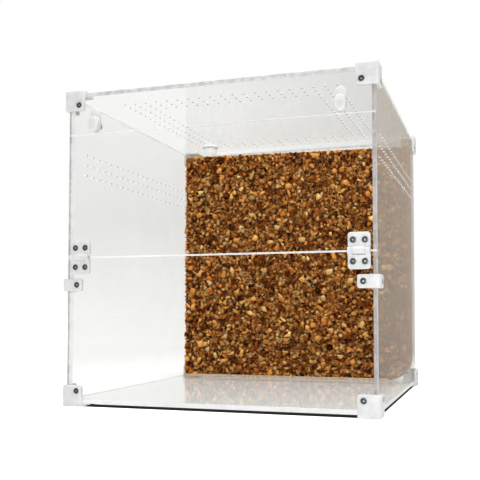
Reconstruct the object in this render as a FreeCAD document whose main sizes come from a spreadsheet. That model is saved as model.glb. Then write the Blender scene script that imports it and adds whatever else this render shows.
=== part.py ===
"""Clear acrylic insect terrarium: flat panels in printed corner brackets, with a drop-down front door.

Millimetres, +Z up. The front faces -Y and X runs across it. The origin is under the middle of the
whole object's bounding box, on the surface that it stands on. The latches are modelled turned up,
clear of the door: half a turn brings their tongues down over the door's top edge.
"""
import FreeCAD, Part
import math
import os
import re

import Sketcher
from FreeCAD import Placement, Rotation, Vector

DOC = FreeCAD.newDocument("insect_terrarium")
SHEET = DOC.addObject("Spreadsheet::Sheet", "Dimensions")

# Driving dimensions: alias, number in millimetres or a plain count, meaning
DIMENSIONS = [
    ("box_width", 300, "acrylic box, outside width"),
    ("box_depth", 300, "acrylic box, outside depth"),
    ("box_height", 300, "acrylic box, outside height"),
    ("panel", 4, "thickness of every acrylic panel"),
    ("seam_gap", 1, "gap above and below the door"),
    ("lower_height", 135, "height of the fixed lower front panel"),
    ("strip_height", 36, "height of the fixed top front strip"),
    ("plate", 3, "thickness of the printed bracket, clip and hinge plates"),
    ("bracket_arm", 17.5, "bracket plate, from the box's edge to its free edge"),
    ("bracket_screw", 12, "bracket screw, from each edge of the box"),
    ("outer_bevel", 1.5, "bevel of the printed parts' outer edges"),
    ("free_bevel", 1.5, "bevel of the plates' free corners"),
    ("clip_arm", 17, "side clip leg, from the box's edge to its end"),
    ("clip_height", 12, "side clip, height"),
    ("clip_drop", 25.7, "side clip's middle below the lower panel's top edge"),
    ("clip_screw", 11.5, "side clip screw, from the box's edge"),
    ("hinge_width", 19.5, "hinge leaf, width"),
    ("hinge_reach", 16, "hinge leaf's end, from the middle of the seam"),
    ("hinge_inset", 15, "hinge's middle, from the box's side"),
    ("hinge_standoff", 3.5, "hinge axis in front of the panels"),
    ("knuckle_radius", 3.2, "hinge knuckle, outer radius"),
    ("knuckle_end", 4.2, "width of each of the two end knuckles"),
    ("knuckle_play", 0.3, "side play between knuckles"),
    ("ramp_reach", 4.2, "end of the ramps and notches at the knuckles, from the axis"),
    ("pin_radius", 1, "hinge pin"),
    ("pin_play", 0.05, "radial play of the hinge pin"),
    ("hinge_screw_across", 5.2, "hinge screw, sideways from the hinge's middle"),
    ("hinge_screw_up", 9.25, "hinge screw, from the middle of the seam"),
    ("screw_radius", 1.5, "thread of every screw"),
    ("head_radius", 2.75, "screw head"),
    ("head_depth", 2, "screw head, height"),
    ("tip_recess", 0.2, "screw tip short of the panel's inner face"),
    ("thread_play", 0.03, "radial play of a screw in its tapped hole"),
    ("shank_play", 0.15, "radial play of a screw in a printed plate"),
    ("head_play", 0.2, "radial play of a screw head in its counterbore"),
    ("latch_inset", 30, "latch pivot, from the box's side"),
    ("latch_rise", 8.3, "latch pivot above the door's top edge"),
    ("latch_radius", 5, "latch, half its width"),
    ("grip_half", 7.6, "latch grip, from the pivot to either end"),
    ("grip_depth", 8, "latch grip, depth"),
    ("grip_bevel", 1, "bevel of the latch grip's front edge"),
    ("tongue_reach", 15.8, "latch tongue's tip, from the pivot"),
    ("tongue_depth", 3.5, "latch tongue, depth"),
    ("latch_play", 0.3, "gap between the latch and the front panels"),
    ("pivot_play", 0.05, "radial play of the latch screw in the strip"),
    ("pivot_bite", 6, "latch screw's length inside the grip"),
    ("washer_radius", 3.5, "latch washer, outer radius"),
    ("washer_depth", 0.5, "latch washer, thickness"),
    ("washer_play", 0.1, "gap behind the strip, and play in the washer's hole"),
    ("vent_width", 1.8, "ventilation hole"),
    ("wall_vent_pitch", 12.25, "side vents, hole spacing along the depth"),
    ("wall_vent_step", 10.3, "side vents, row spacing"),
    ("wall_vent_drop", 55, "side vents' top row below the box's top"),
    ("wall_vent_count", 21, "side vents, holes in a row"),
    ("roof_vent_pitch", 11.5, "roof vents, hole spacing both ways"),
    ("roof_vent_front", 37, "roof vents' first row, from the front"),
    ("roof_vent_count", 20, "roof vents, holes along each side of the ring"),
    ("vent_band", 3, "rows in each band of vents"),
    ("port_side", 46, "port's middle, from the box's left side"),
    ("port_back", 44, "port's middle, from the box's back"),
    ("port_radius", 8.5, "port plug, radius of its body and round end"),
    ("port_play", 0.1, "radial play of the plug in the roof"),
    ("flange_radius", 10.5, "port plug, radius of its flange"),
    ("flange_depth", 2, "port plug, thickness of its flange"),
    ("plug_drop", 8.5, "port plug, how far it hangs below the roof"),
    ("plug_bevel", 5, "port plug, bevel that stands for its round end"),
    ("cork_depth", 29, "cork background, thickness"),
    ("cork_side_gap", 1, "cork background, gap to each side wall"),
    ("cork_top_gap", 4, "cork background, gap to the roof at the left"),
    ("cork_slope", 4.5, "how much lower the cork's top is at the right"),
    ("cork_corner", 26, "rounding of the cork's lower right corner"),
    ("cork_relief", 5, "height of the cork's main lumps above its slab"),
    ("lump_margin", 2, "cork lumps, from the slab's edges"),
    ("lump_cells", 7, "groups of four cork lumps, across and up"),
    ("low_lump_share", 0.7, "height of the lower lumps, as a share of the relief"),
]

# Places and sizes worked out from the driving dimensions
DERIVED = {
    "front_reach": "(latch_play + grip_depth)",
    "front": "(-(box_depth + plate - front_reach) / 2)",
    "back": "(front + box_depth)",
    "left": "(-box_width / 2)",
    "right": "(box_width / 2)",
    "bottom": "plate",
    "top": "(plate + box_height)",
    "floor": "(bottom + panel)",
    "roof": "(top - panel)",
    "wall_height": "(box_height - 2 * panel)",
    "wall_depth": "(box_depth - 2 * panel)",
    "door_height": "(wall_height - lower_height - strip_height - 2 * seam_gap)",
    "lower_top": "(floor + lower_height)",
    "door_bottom": "(lower_top + seam_gap)",
    "door_top": "(door_bottom + door_height)",
    "strip_bottom": "(door_top + seam_gap)",
    "hinge_level": "(lower_top + seam_gap / 2)",
    "hinge_side": "(right - hinge_inset)",
    "clip_level": "(lower_top - clip_drop)",
    "latch_side": "(right - latch_inset)",
    "latch_level": "(door_top + latch_rise)",
    "tapped": "(screw_radius + thread_play)",
    "screw_length": "(plate - head_depth + panel - tip_recess)",
    "latch_screw_length": "(washer_depth + washer_play + panel + latch_play + pivot_bite)",
    "vent_ring": "((roof_vent_count - 1) * roof_vent_pitch)",
    "vent_margin": "((box_width - vent_ring) / 2)",
    "middle_knuckle": "(hinge_width - 2 * knuckle_end - 2 * knuckle_play)",
    "cork_width": "(box_width - 2 * panel - 2 * cork_side_gap)",
    "cork_left_height": "(wall_height - cork_top_gap)",
    "cork_right_height": "(cork_left_height - cork_slope)",
    "lump_pitch": "((cork_width - 2 * lump_margin) / lump_cells)",
    "lump_step": "((cork_right_height - 2 * lump_margin) / lump_cells)",
}

# Outlines of the cork's main lumps, as shares of one group's width and height
HIGH_LUMPS = [
    [(0.06, 0.10), (0.30, 0.04), (0.47, 0.16), (0.42, 0.40), (0.17, 0.46)],
    [(0.58, 0.55), (0.84, 0.57), (0.95, 0.78), (0.76, 0.95), (0.52, 0.82)],
]
LOW_LUMPS = [
    [(0.56, 0.10), (0.80, 0.14), (0.93, 0.35), (0.78, 0.48), (0.55, 0.40)],
    [(0.08, 0.58), (0.33, 0.53), (0.45, 0.70), (0.36, 0.92), (0.10, 0.88)],
]
LUMP_TAPER = -18

# Small drilled holes and screws repeat so often that they are drawn with few sides
ROUND_SIDES = 8
THREAD_SIDES = 6
PLUG_SIDES = 24

ALIASES = {alias for alias, number, meaning in DIMENSIONS}
PLAIN_WORD = re.compile(r"[a-z_]+")

# How a piece modelled flat is turned: where its own Z points
FACING_UP = Rotation()
FACING_FRONT = Rotation(Vector(1, 0, 0), 90)
FACING_BACK = Rotation(Vector(1, 0, 0), -90)
FACING_RIGHT = Rotation(Vector(0, 1, 0), 90)
FACING_LEFT = Rotation(Vector(0, 1, 0), -90)
WALL_TO_RIGHT = Rotation(Vector(1, 1, 1), 120)


def fill_sheet():
    """Writes every driving dimension into the spreadsheet."""
    for row, (alias, number, meaning) in enumerate(DIMENSIONS, start=1):
        SHEET.set("A%d" % row, meaning)
        SHEET.set("B%d" % row, str(number))
        SHEET.setAlias("B%d" % row, alias)
    DOC.recompute()


def formula(text):
    """Turns a formula in plain words into one that names the sheet's cells."""
    def swap(match):
        word = match.group(0)
        if word in DERIVED:
            return formula(DERIVED[word])
        if word in ALIASES:
            return "Dimensions." + word
        return word
    return PLAIN_WORD.sub(swap, text)


def number_of(text):
    """Works out a formula in plain words from the sheet's numbers."""
    return float(SHEET.evalExpression(formula(text)))


def bind(thing, **formulas):
    """Binds properties of an object to formulas."""
    for name, text in formulas.items():
        thing.setExpression(name, formula(text))


def place(thing, x, y, z, turn=FACING_UP):
    """Gives an object its turn, and binds its position to three formulas."""
    thing.Placement = Placement(Vector(), turn)
    for axis, text in zip("xyz", (x, y, z)):
        thing.setExpression("Placement.Base." + axis, formula(text))


def new_body(label):
    """Starts a PartDesign body under its own label."""
    body = DOC.addObject("PartDesign::Body", label)
    body.Label = label
    return body


def origin_part(body, role):
    """Finds one of a body's own origin planes or axes."""
    return next(item for item in body.Origin.OriginFeatures if item.Role == role)


def new_sketch(body, name, role="XY_Plane"):
    """Adds a sketch on one of the body's own planes."""
    sketch = body.newObject("Sketcher::SketchObject", name)
    sketch.AttachmentSupport = [(origin_part(body, role), "")]
    sketch.MapMode = "FlatFace"
    return sketch


def fix_point(sketch, item, point, x, y):
    """Ties one point of a sketch to the origin by two bound distances."""
    for kind, on_axis, text in (("DistanceX", -2, x), ("DistanceY", -1, y)):
        distance = number_of(text)
        if abs(distance) < 1e-9:
            sketch.addConstraint(Sketcher.Constraint("PointOnObject", item, point, on_axis))
            continue
        rule = sketch.addConstraint(Sketcher.Constraint(kind, -1, 1, item, point, distance))
        sketch.setExpression("Constraints[%d]" % rule, formula(text))


def draw_polygon(sketch, corners):
    """Draws a closed outline through corners given as pairs of formulas."""
    points = [Vector(number_of(x), number_of(y), 0) for x, y in corners]
    count = len(points)
    lines = [
        sketch.addGeometry(Part.LineSegment(point, points[(i + 1) % count]), False)
        for i, point in enumerate(points)
    ]
    for i, line in enumerate(lines):
        sketch.addConstraint(Sketcher.Constraint("Coincident", line, 2, lines[(i + 1) % count], 1))
    for line, (x, y) in zip(lines, corners):
        fix_point(sketch, line, 1, x, y)


def draw_slot(sketch, low, high, radius):
    """Draws an upright slot with round ends, from low to high on the sketch's Y axis."""
    r = number_of(radius)
    low_centre = Vector(0, number_of(low) + r, 0)
    high_centre = Vector(0, number_of(high) - r, 0)
    side = Vector(r, 0, 0)
    up = Vector(0, 0, 1)
    over = Part.ArcOfCircle(Part.Circle(high_centre, up, r), 0, math.pi)
    under = Part.ArcOfCircle(Part.Circle(low_centre, up, r), math.pi, 2 * math.pi)
    top = sketch.addGeometry(over, False)
    left = sketch.addGeometry(Part.LineSegment(high_centre - side, low_centre - side), False)
    base = sketch.addGeometry(under, False)
    right = sketch.addGeometry(Part.LineSegment(low_centre + side, high_centre + side), False)
    for first, second, end in ((top, left, 2), (left, base, 2), (base, right, 2), (right, top, 2)):
        sketch.addConstraint(Sketcher.Constraint("Tangent", first, end, second, 1))
    sketch.addConstraint(Sketcher.Constraint("Vertical", left))
    rule = sketch.addConstraint(Sketcher.Constraint("Radius", top, r))
    sketch.setExpression("Constraints[%d]" % rule, formula(radius))
    fix_point(sketch, top, 3, "0", "%s - %s" % (high, radius))
    fix_point(sketch, base, 3, "0", "%s + %s" % (low, radius))


def pad(body, sketch, length, symmetric=False):
    """Pads a sketch by a bound length, to one side or to both."""
    feature = body.newObject("PartDesign::Pad", sketch.Name + "_pad")
    feature.Profile = sketch
    if symmetric:
        feature.SideType = "Symmetric"
    bind(feature, Length=length)
    return feature


def cut_through(body, sketch):
    """Cuts a sketch right through the body, both ways from its plane."""
    feature = body.newObject("PartDesign::Pocket", sketch.Name + "_cut")
    feature.Profile = sketch
    feature.SideType = "Symmetric"
    feature.Type = "ThroughAll"
    return feature


def bore(body, name, x, y, z, radius, length, turn=FACING_UP):
    """Takes a bound cylinder out of the body, from a point along the turned Z."""
    hole = body.newObject("PartDesign::SubtractiveCylinder", name)
    bind(hole, Radius=radius, Height=length)
    place(hole, x, y, z, turn)
    return hole


def drill(body, name, x, y, z, radius, length, sides, turn=FACING_UP):
    """Takes out a many-sided hole whose flats touch the bound circle."""
    hole = body.newObject("PartDesign::SubtractivePrism", name)
    hole.Polygon = sides
    bind(hole, Circumradius="(%s) / cos(180 / %d)" % (radius, sides), Height=length)
    place(hole, x, y, z, turn)
    return hole


def counterbore(body, name, x, y, z, turn):
    """Sinks a screw hole into a plate from its outer face, along the turned Z."""
    clear = "screw_radius + shank_play"
    seat = "head_radius + head_play"
    drill(body, name + "_shank", x, y, z, clear, "plate", THREAD_SIDES, turn)
    drill(body, name + "_head", x, y, z, seat, "head_depth", ROUND_SIDES, turn)


def dress_edges(body, name, kind, size_name, size, is_wanted):
    """Adds a Chamfer or a Fillet on the edges of the body's tip that is_wanted picks."""
    DOC.recompute()
    base = body.Tip
    edges = [
        "Edge%d" % i
        for i, edge in enumerate(base.Shape.Edges, start=1)
        if is_wanted(edge)
    ]
    feature = body.newObject("PartDesign::" + kind, name)
    feature.Base = (base, edges)
    bind(feature, **{size_name: size})
    return feature


def bevel_edges(body, name, size, is_wanted):
    """Bevels the edges of the body's tip for which is_wanted says yes."""
    return dress_edges(body, name, "Chamfer", "Size", size, is_wanted)


def round_edges(body, name, radius, is_wanted):
    """Rounds the edges of the body's tip for which is_wanted says yes."""
    return dress_edges(body, name, "Fillet", "Radius", radius, is_wanted)


def runs_along(edge, axis):
    """Tells whether an edge is straight and parallel to an axis vector."""
    if not isinstance(edge.Curve, Part.Line):
        return False
    return abs(edge.Curve.Direction.dot(axis)) > 0.999


def near(first, second):
    """Compares two lengths to a hundredth of a millimetre."""
    return abs(first - second) < 0.01


# The acrylic panels

def flat_panel(label, width, height, tapped_holes):
    """Makes a panel with its corner at its own origin and tapped holes at (x, y)."""
    body = new_body(label)
    outline = new_sketch(body, label + "_outline")
    draw_polygon(outline, [("0", "0"), (width, "0"), (width, height), ("0", height)])
    pad(body, outline, "panel")
    for i, (x, y) in enumerate(tapped_holes, start=1):
        drill(body, "%s_hole_%d" % (label, i), x, y, "0", "tapped", "panel", THREAD_SIDES)
    return body


def repeat(body, name, features, pitch, step, columns, rows):
    """Repeats features in a grid across and up the body."""
    grid = body.newObject("PartDesign::LinearPattern", name)
    grid.Originals = features
    grid.Direction = (origin_part(body, "X_Axis"), [""])
    grid.Occurrences = round(number_of(columns))
    bind(grid, Length="(%s) * ((%s) - 1)" % (pitch, columns))
    grid.Direction2 = (origin_part(body, "Y_Axis"), [""])
    grid.Occurrences2 = round(number_of(rows))
    bind(grid, Length2="(%s) * ((%s) - 1)" % (step, rows))
    body.Tip = grid


def vent_band(body, name, x, y, pitch, step, columns, rows):
    """Cuts a grid of ventilation holes whose first hole is at (x, y)."""
    first = new_sketch(body, name)
    sides = [("-", "-"), ("+", "-"), ("+", "+"), ("-", "+")]
    draw_polygon(first, [
        ("%s %s vent_width / 2" % (x, across), "%s %s vent_width / 2" % (y, up))
        for across, up in sides
    ])
    repeat(body, name + "_grid", [cut_through(body, first)], pitch, step, columns, rows)


def front_panels():
    """Makes the fixed strip, the door and the fixed lower panel, all in one plane."""
    low = "bracket_screw - panel"
    near_side = "bracket_screw"
    far_side = "box_width - bracket_screw"
    strip = flat_panel("front_top_strip", "box_width", "strip_height", [
        (side, "strip_height - (%s)" % low) for side in (near_side, far_side)
    ])
    for name, side in (("left", "latch_inset"), ("right", "box_width - latch_inset")):
        level = "latch_rise - seam_gap"
        pivot = "screw_radius + pivot_play"
        drill(strip, name + "_pivot_hole", side, level, "0", pivot, "panel", THREAD_SIDES)
    place(strip, "left", "front + panel", "strip_bottom", FACING_FRONT)

    hinge_columns = [
        "hinge_inset - hinge_screw_across",
        "hinge_inset + hinge_screw_across",
        "box_width - hinge_inset - hinge_screw_across",
        "box_width - hinge_inset + hinge_screw_across",
    ]
    screw_row = "hinge_screw_up - seam_gap / 2"
    door = flat_panel("front_door", "box_width", "door_height", [
        (column, screw_row) for column in hinge_columns
    ])
    place(door, "left", "front + panel", "door_bottom", FACING_FRONT)

    lower_holes = [(column, "lower_height - (%s)" % screw_row) for column in hinge_columns]
    lower_holes += [(side, low) for side in (near_side, far_side)]
    clip_row = "lower_height - clip_drop"
    lower_holes += [(side, clip_row) for side in ("clip_screw", "box_width - clip_screw")]
    lower = flat_panel("front_lower_panel", "box_width", "lower_height", lower_holes)
    place(lower, "left", "front + panel", "floor", FACING_FRONT)


def back_panel():
    """Makes the back panel, held by the four rear brackets."""
    low = "bracket_screw - panel"
    high = "wall_height - (%s)" % low
    holes = [
        (side, level)
        for side in ("bracket_screw", "box_width - bracket_screw")
        for level in (low, high)
    ]
    panel = flat_panel("back_panel", "box_width", "wall_height", holes)
    place(panel, "left", "back", "floor", FACING_FRONT)


def side_walls():
    """Makes the two side walls with three rows of vents near the top."""
    near_end = "bracket_screw - panel"
    far_end = "wall_depth - (%s)" % near_end
    low = "bracket_screw - panel"
    high = "wall_height - (%s)" % low
    holes = [(end, level) for end in (near_end, far_end) for level in (low, high)]
    holes.append(("clip_screw - panel", "clip_level - floor"))
    for label, side in (("left_wall", "left"), ("right_wall", "right - panel")):
        wall = flat_panel(label, "wall_depth", "wall_height", holes)
        vent_band(
            wall, label + "_vents",
            "(wall_depth - (wall_vent_count - 1) * wall_vent_pitch) / 2",
            "roof - floor + panel - wall_vent_drop - (vent_band - 1) * wall_vent_step",
            "wall_vent_pitch", "wall_vent_step", "wall_vent_count", "vent_band",
        )
        place(wall, side, "front + panel", "floor", WALL_TO_RIGHT)


def floor_and_roof():
    """Makes the bottom panel, and the top panel with its ring of vents and its port."""
    base = flat_panel("bottom_panel", "box_width", "box_depth", [])
    place(base, "left", "front", "bottom")

    roof = flat_panel("top_panel", "box_width", "box_depth", [])
    port_hole = "port_radius + port_play"
    bore(roof, "port_hole", "port_side", "box_depth - port_back", "0", port_hole, "panel")
    pitch = "roof_vent_pitch"
    band_width = "vent_band * roof_vent_pitch"
    middle_rows = "roof_vent_count - 2 * vent_band"
    near_row = "roof_vent_front"
    middle_row = "roof_vent_front + " + band_width
    far_row = "roof_vent_front + vent_ring - (vent_band - 1) * roof_vent_pitch"
    right_column = "vent_margin + vent_ring - (vent_band - 1) * roof_vent_pitch"
    back_column = "vent_margin + " + band_width
    back_columns = "roof_vent_count - vent_band"
    # The corner of the ring where the port is has no vents
    bands = [
        ("roof_vents_front", "vent_margin", near_row, "roof_vent_count", "vent_band"),
        ("roof_vents_left", "vent_margin", middle_row, "vent_band", middle_rows),
        ("roof_vents_right", right_column, middle_row, "vent_band", middle_rows),
        ("roof_vents_back", back_column, far_row, back_columns, "vent_band"),
    ]
    for name, x, y, columns, rows in bands:
        vent_band(roof, name, x, y, pitch, pitch, columns, rows)
    place(roof, "left", "front", "roof")


# The printed brackets and clips

def mirrored(label, source, normal, x="0", y="0", z="0"):
    """Mirrors a piece about a plane through a bound point."""
    copy = DOC.addObject("Part::Mirroring", label)
    copy.Label = label
    copy.Source = source
    copy.Normal = normal
    for axis, text in zip("xyz", (x, y, z)):
        copy.setExpression("Base." + axis, formula(text))
    return copy


def corner_bracket(label):
    """Makes the front left bottom bracket: three plates that wrap the box's corner."""
    body = new_body(label)
    block = body.newObject("PartDesign::AdditiveBox", label + "_block")
    side = "bracket_arm + plate"
    bind(block, Length=side, Width=side, Height=side)
    place(block, "-plate", "-plate", "-plate")
    hollow = body.newObject("PartDesign::SubtractiveBox", label + "_hollow")
    bind(hollow, Length="bracket_arm", Width="bracket_arm", Height="bracket_arm")
    place(hollow, "0", "0", "0")

    outer = -number_of("plate")
    arm = number_of("bracket_arm")

    def is_outer(edge):
        middle = edge.CenterOfMass
        return sum(near(part, outer) for part in middle) == 2

    def is_free_corner(edge):
        middle = edge.CenterOfMass
        return sum(near(part, arm) for part in middle) == 2

    bevel_edges(body, label + "_outer_bevel", "outer_bevel", is_outer)
    bevel_edges(body, label + "_free_bevel", "free_bevel", is_free_corner)
    counterbore(body, label + "_front", "bracket_screw", "-plate", "bracket_screw", FACING_BACK)
    counterbore(body, label + "_side", "-plate", "bracket_screw", "bracket_screw", FACING_RIGHT)
    place(body, "left", "front", "bottom")
    return body


def all_brackets():
    """Makes the eight brackets by mirroring one about the box's middle planes."""
    first = corner_bracket("bracket_front_left_bottom")
    middle_depth = "(front + back) / 2"
    middle_height = "(bottom + top) / 2"
    lower = [first]
    lower.append(mirrored("bracket_front_right_bottom", first, (1, 0, 0)))
    lower.append(mirrored("bracket_rear_left_bottom", first, (0, 1, 0), y=middle_depth))
    lower.append(mirrored("bracket_rear_right_bottom", lower[1], (0, 1, 0), y=middle_depth))
    for bracket in lower:
        label = bracket.Label.replace("bottom", "top")
        mirrored(label, bracket, (0, 0, 1), z=middle_height)


def side_clips():
    """Makes the two L-shaped clips that tie the lower panel's ends to the side walls."""
    body = new_body("side_clip_left")
    profile = new_sketch(body, "side_clip_profile")
    draw_polygon(profile, [
        ("-plate", "-plate"),
        ("clip_arm", "-plate"),
        ("clip_arm", "0"),
        ("0", "0"),
        ("0", "clip_arm"),
        ("-plate", "clip_arm"),
    ])
    pad(body, profile, "clip_height", symmetric=True)
    outer = -number_of("plate")
    arm = number_of("clip_arm")

    def is_corner(edge):
        middle = edge.CenterOfMass
        return runs_along(edge, Vector(0, 0, 1)) and near(middle.x, outer) and near(middle.y, outer)

    def is_leg_end(edge):
        middle = edge.CenterOfMass
        across = runs_along(edge, Vector(0, 1, 0)) and near(middle.x, arm)
        along = runs_along(edge, Vector(1, 0, 0)) and near(middle.y, arm)
        return across or along

    bevel_edges(body, "side_clip_corner", "outer_bevel", is_corner)
    bevel_edges(body, "side_clip_ends", "free_bevel", is_leg_end)
    counterbore(body, "side_clip_front", "clip_screw", "-plate", "0", FACING_BACK)
    counterbore(body, "side_clip_side", "-plate", "clip_screw", "0", FACING_RIGHT)
    place(body, "left", "front", "clip_level")
    mirrored("side_clip_right", body, (1, 0, 0))


# The hinges

def hinge_leaf(label, way, has_end_knuckles):
    """Makes a leaf about its own hinge axis (X), reaching down (way -1) or up (way +1)."""
    body = new_body(label)
    profile = new_sketch(body, label + "_profile", "YZ_Plane")
    ramp_start = "knuckle_radius * cos(45)"
    draw_polygon(profile, [
        ("hinge_standoff", "0"),
        ("hinge_standoff", "%d * hinge_reach" % way),
        ("hinge_standoff - plate", "%d * hinge_reach" % way),
        ("hinge_standoff - plate", "%d * ramp_reach" % way),
        ("-" + ramp_start, "%d * %s" % (way, ramp_start)),
        ("0", "0"),
    ])
    pad(body, profile, "hinge_width", symmetric=True)
    reach = way * number_of("hinge_reach")

    def is_free_corner(edge):
        return runs_along(edge, Vector(0, 1, 0)) and near(edge.CenterOfMass.z, reach)

    bevel_edges(body, label + "_free_bevel", "free_bevel", is_free_corner)
    barrel = body.newObject("PartDesign::AdditiveCylinder", label + "_barrel")
    bind(barrel, Radius="knuckle_radius", Height="hinge_width")
    place(barrel, "-hinge_width / 2", "0", "0", FACING_RIGHT)

    # Notches for the other leaf's knuckles
    end_room = "knuckle_end + knuckle_play"
    middle_room = "middle_knuckle + 2 * knuckle_play"
    if has_end_knuckles:
        notches = [("-(%s) / 2" % middle_room, middle_room)]
    else:
        notches = [("-hinge_width / 2", end_room), ("hinge_width / 2 - (%s)" % end_room, end_room)]
    for i, (start, width) in enumerate(notches, start=1):
        notch = body.newObject("PartDesign::SubtractiveBox", "%s_notch_%d" % (label, i))
        bind(notch, Length=width, Width="2 * ramp_reach", Height="2 * ramp_reach")
        place(notch, start, "-ramp_reach", "-ramp_reach")
    pin_hole = "pin_radius + pin_play"
    bore(body, label + "_pin_hole", "-hinge_width / 2", "0", "0", pin_hole, "hinge_width", FACING_RIGHT)
    screw_row = "%d * hinge_screw_up" % way
    for name, side in (("_left_screw", "-hinge_screw_across"), ("_right_screw", "hinge_screw_across")):
        counterbore(body, label + name, side, "hinge_standoff - plate", screw_row, FACING_BACK)
    return body


def hinges():
    """Makes both hinges: the lower leaf with end knuckles, the door leaf and the pin."""
    for name, side in (("left", "-hinge_side"), ("right", "hinge_side")):
        axis = (side, "front - hinge_standoff", "hinge_level")
        place(hinge_leaf("hinge_%s_lower_leaf" % name, -1, True), *axis)
        place(hinge_leaf("hinge_%s_door_leaf" % name, 1, False), *axis)
        pin = DOC.addObject("Part::Cylinder", "hinge_%s_pin" % name)
        pin.Label = "hinge_%s_pin" % name
        bind(pin, Radius="pin_radius", Height="hinge_width")
        place(pin, "%s - hinge_width / 2" % side, axis[1], axis[2], FACING_RIGHT)


# The screws

def prism(body, name, radius, height, base, sides):
    """Adds an upright prism about the body's own Z."""
    feature = body.newObject("PartDesign::AdditivePrism", name)
    feature.Polygon = sides
    bind(feature, Circumradius=radius, Height=height)
    place(feature, "0", "0", base)
    return feature


def low_head_screw(label, length):
    """Makes a low-head screw: its head's top is at the origin, facing +Z."""
    body = new_body(label)
    prism(body, label + "_head", "head_radius", "head_depth", "-head_depth", ROUND_SIDES)
    prism(body, label + "_shank", "screw_radius", length, "-head_depth - " + length, THREAD_SIDES)
    return body


def screw_group(label, pattern, seats):
    """Sets linked screws at seats given as (x, y, z, turn), as one group of solids."""
    links = []
    for i, (x, y, z, turn) in enumerate(seats, start=1):
        link = DOC.addObject("App::Link", "%s_%d" % (label, i))
        link.LinkedObject = pattern
        place(link, x, y, z, turn)
        links.append(link)
    group = DOC.addObject("Part::Compound", label)
    group.Label = label
    group.Links = links


def fasteners():
    """Sets every plate screw: brackets, clips and hinges."""
    screw = low_head_screw("plate_screw", "screw_length")
    levels = ("bottom + bracket_screw", "top - bracket_screw")
    across = ("left + bracket_screw", "right - bracket_screw")
    along = ("front + bracket_screw", "back - bracket_screw")
    front_face = "front - plate"
    screw_group("bracket_screws_front", screw, [
        (x, front_face, z, FACING_FRONT) for x in across for z in levels
    ])
    screw_group("bracket_screws_rear", screw, [
        (x, "back + plate", z, FACING_BACK) for x in across for z in levels
    ])
    screw_group("bracket_screws_left", screw, [
        ("left - plate", y, z, FACING_LEFT) for y in along for z in levels
    ])
    screw_group("bracket_screws_right", screw, [
        ("right + plate", y, z, FACING_RIGHT) for y in along for z in levels
    ])
    screw_group("clip_screws", screw, [
        ("left + clip_screw", front_face, "clip_level", FACING_FRONT),
        ("right - clip_screw", front_face, "clip_level", FACING_FRONT),
        ("left - plate", "front + clip_screw", "clip_level", FACING_LEFT),
        ("right + plate", "front + clip_screw", "clip_level", FACING_RIGHT),
    ])
    columns = [
        "%s %s hinge_screw_across" % (side, sign)
        for side in ("-hinge_side", "hinge_side")
        for sign in "-+"
    ]
    for label, sign in (("hinge_screws_lower", "-"), ("hinge_screws_door", "+")):
        row = "hinge_level %s hinge_screw_up" % sign
        screw_group(label, screw, [(x, front_face, row, FACING_FRONT) for x in columns])


# The latches

def latch_knob(label):
    """Makes a turn latch about its own pivot (Z): a deep grip and a thin tongue that points up."""
    body = new_body(label)
    tongue = new_sketch(body, label + "_tongue")
    draw_slot(tongue, "-latch_radius", "tongue_reach", "latch_radius")
    pad(body, tongue, "tongue_depth")
    grip = new_sketch(body, label + "_grip")
    draw_slot(grip, "-grip_half", "grip_half", "latch_radius")
    pad(body, grip, "grip_depth")
    face = number_of("grip_depth")

    def is_front_rim(edge):
        box = edge.BoundBox
        return near(box.ZMin, face) and near(box.ZMax, face)

    bevel_edges(body, label + "_rim", "grip_bevel", is_front_rim)
    drill(body, label + "_thread", "0", "0", "0", "tapped", "pivot_bite", THREAD_SIDES)
    return body


def latches():
    """Makes both latches with their pivot screws and washers, put in from inside."""
    screw = low_head_screw("latch_screw", "latch_screw_length")
    washer_face = "front + panel + washer_play"
    head_top = washer_face + " + washer_depth + head_depth"
    for name, side in (("left", "-latch_side"), ("right", "latch_side")):
        place(latch_knob("latch_%s" % name), side, "front - latch_play", "latch_level", FACING_FRONT)
        screw_group("latch_%s_screw" % name, screw, [(side, head_top, "latch_level", FACING_BACK)])
        washer = new_body("latch_%s_washer" % name)
        prism(washer, "latch_%s_disc" % name, "washer_radius", "washer_depth", "0", ROUND_SIDES)
        eye = "screw_radius + washer_play"
        drill(washer, "latch_%s_eye" % name, "0", "0", "0", eye, "washer_depth", THREAD_SIDES)
        place(washer, side, washer_face, "latch_level", FACING_BACK)


# The port plug and the cork

def port_plug():
    """Makes the plug: a flange on the roof and a round end that hangs below it."""
    body = new_body("port_plug")
    drop = "panel + plug_drop"
    prism(body, "port_plug_body", "port_radius", drop, "-(%s)" % drop, PLUG_SIDES)
    end = -number_of(drop)

    def is_lower_rim(edge):
        box = edge.BoundBox
        return near(box.ZMin, end) and near(box.ZMax, end)

    bevel_edges(body, "port_plug_end", "plug_bevel", is_lower_rim)
    prism(body, "port_plug_flange", "flange_radius", "flange_depth", "0", PLUG_SIDES)
    place(body, "left + port_side", "back - port_back", "top")


def cork_lumps(body, name, outlines, height):
    """Raises one group of tapered lumps on the slab's front face."""
    group = new_sketch(body, name)
    group.setExpression("AttachmentOffset.Base.z", formula("cork_depth - cork_relief"))
    for outline in outlines:
        draw_polygon(group, [
            ("lump_margin + %s * lump_pitch" % across, "lump_margin + %s * lump_step" % up)
            for across, up in outline
        ])
    lumps = pad(body, group, height)
    lumps.TaperAngle = LUMP_TAPER
    return lumps


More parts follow.
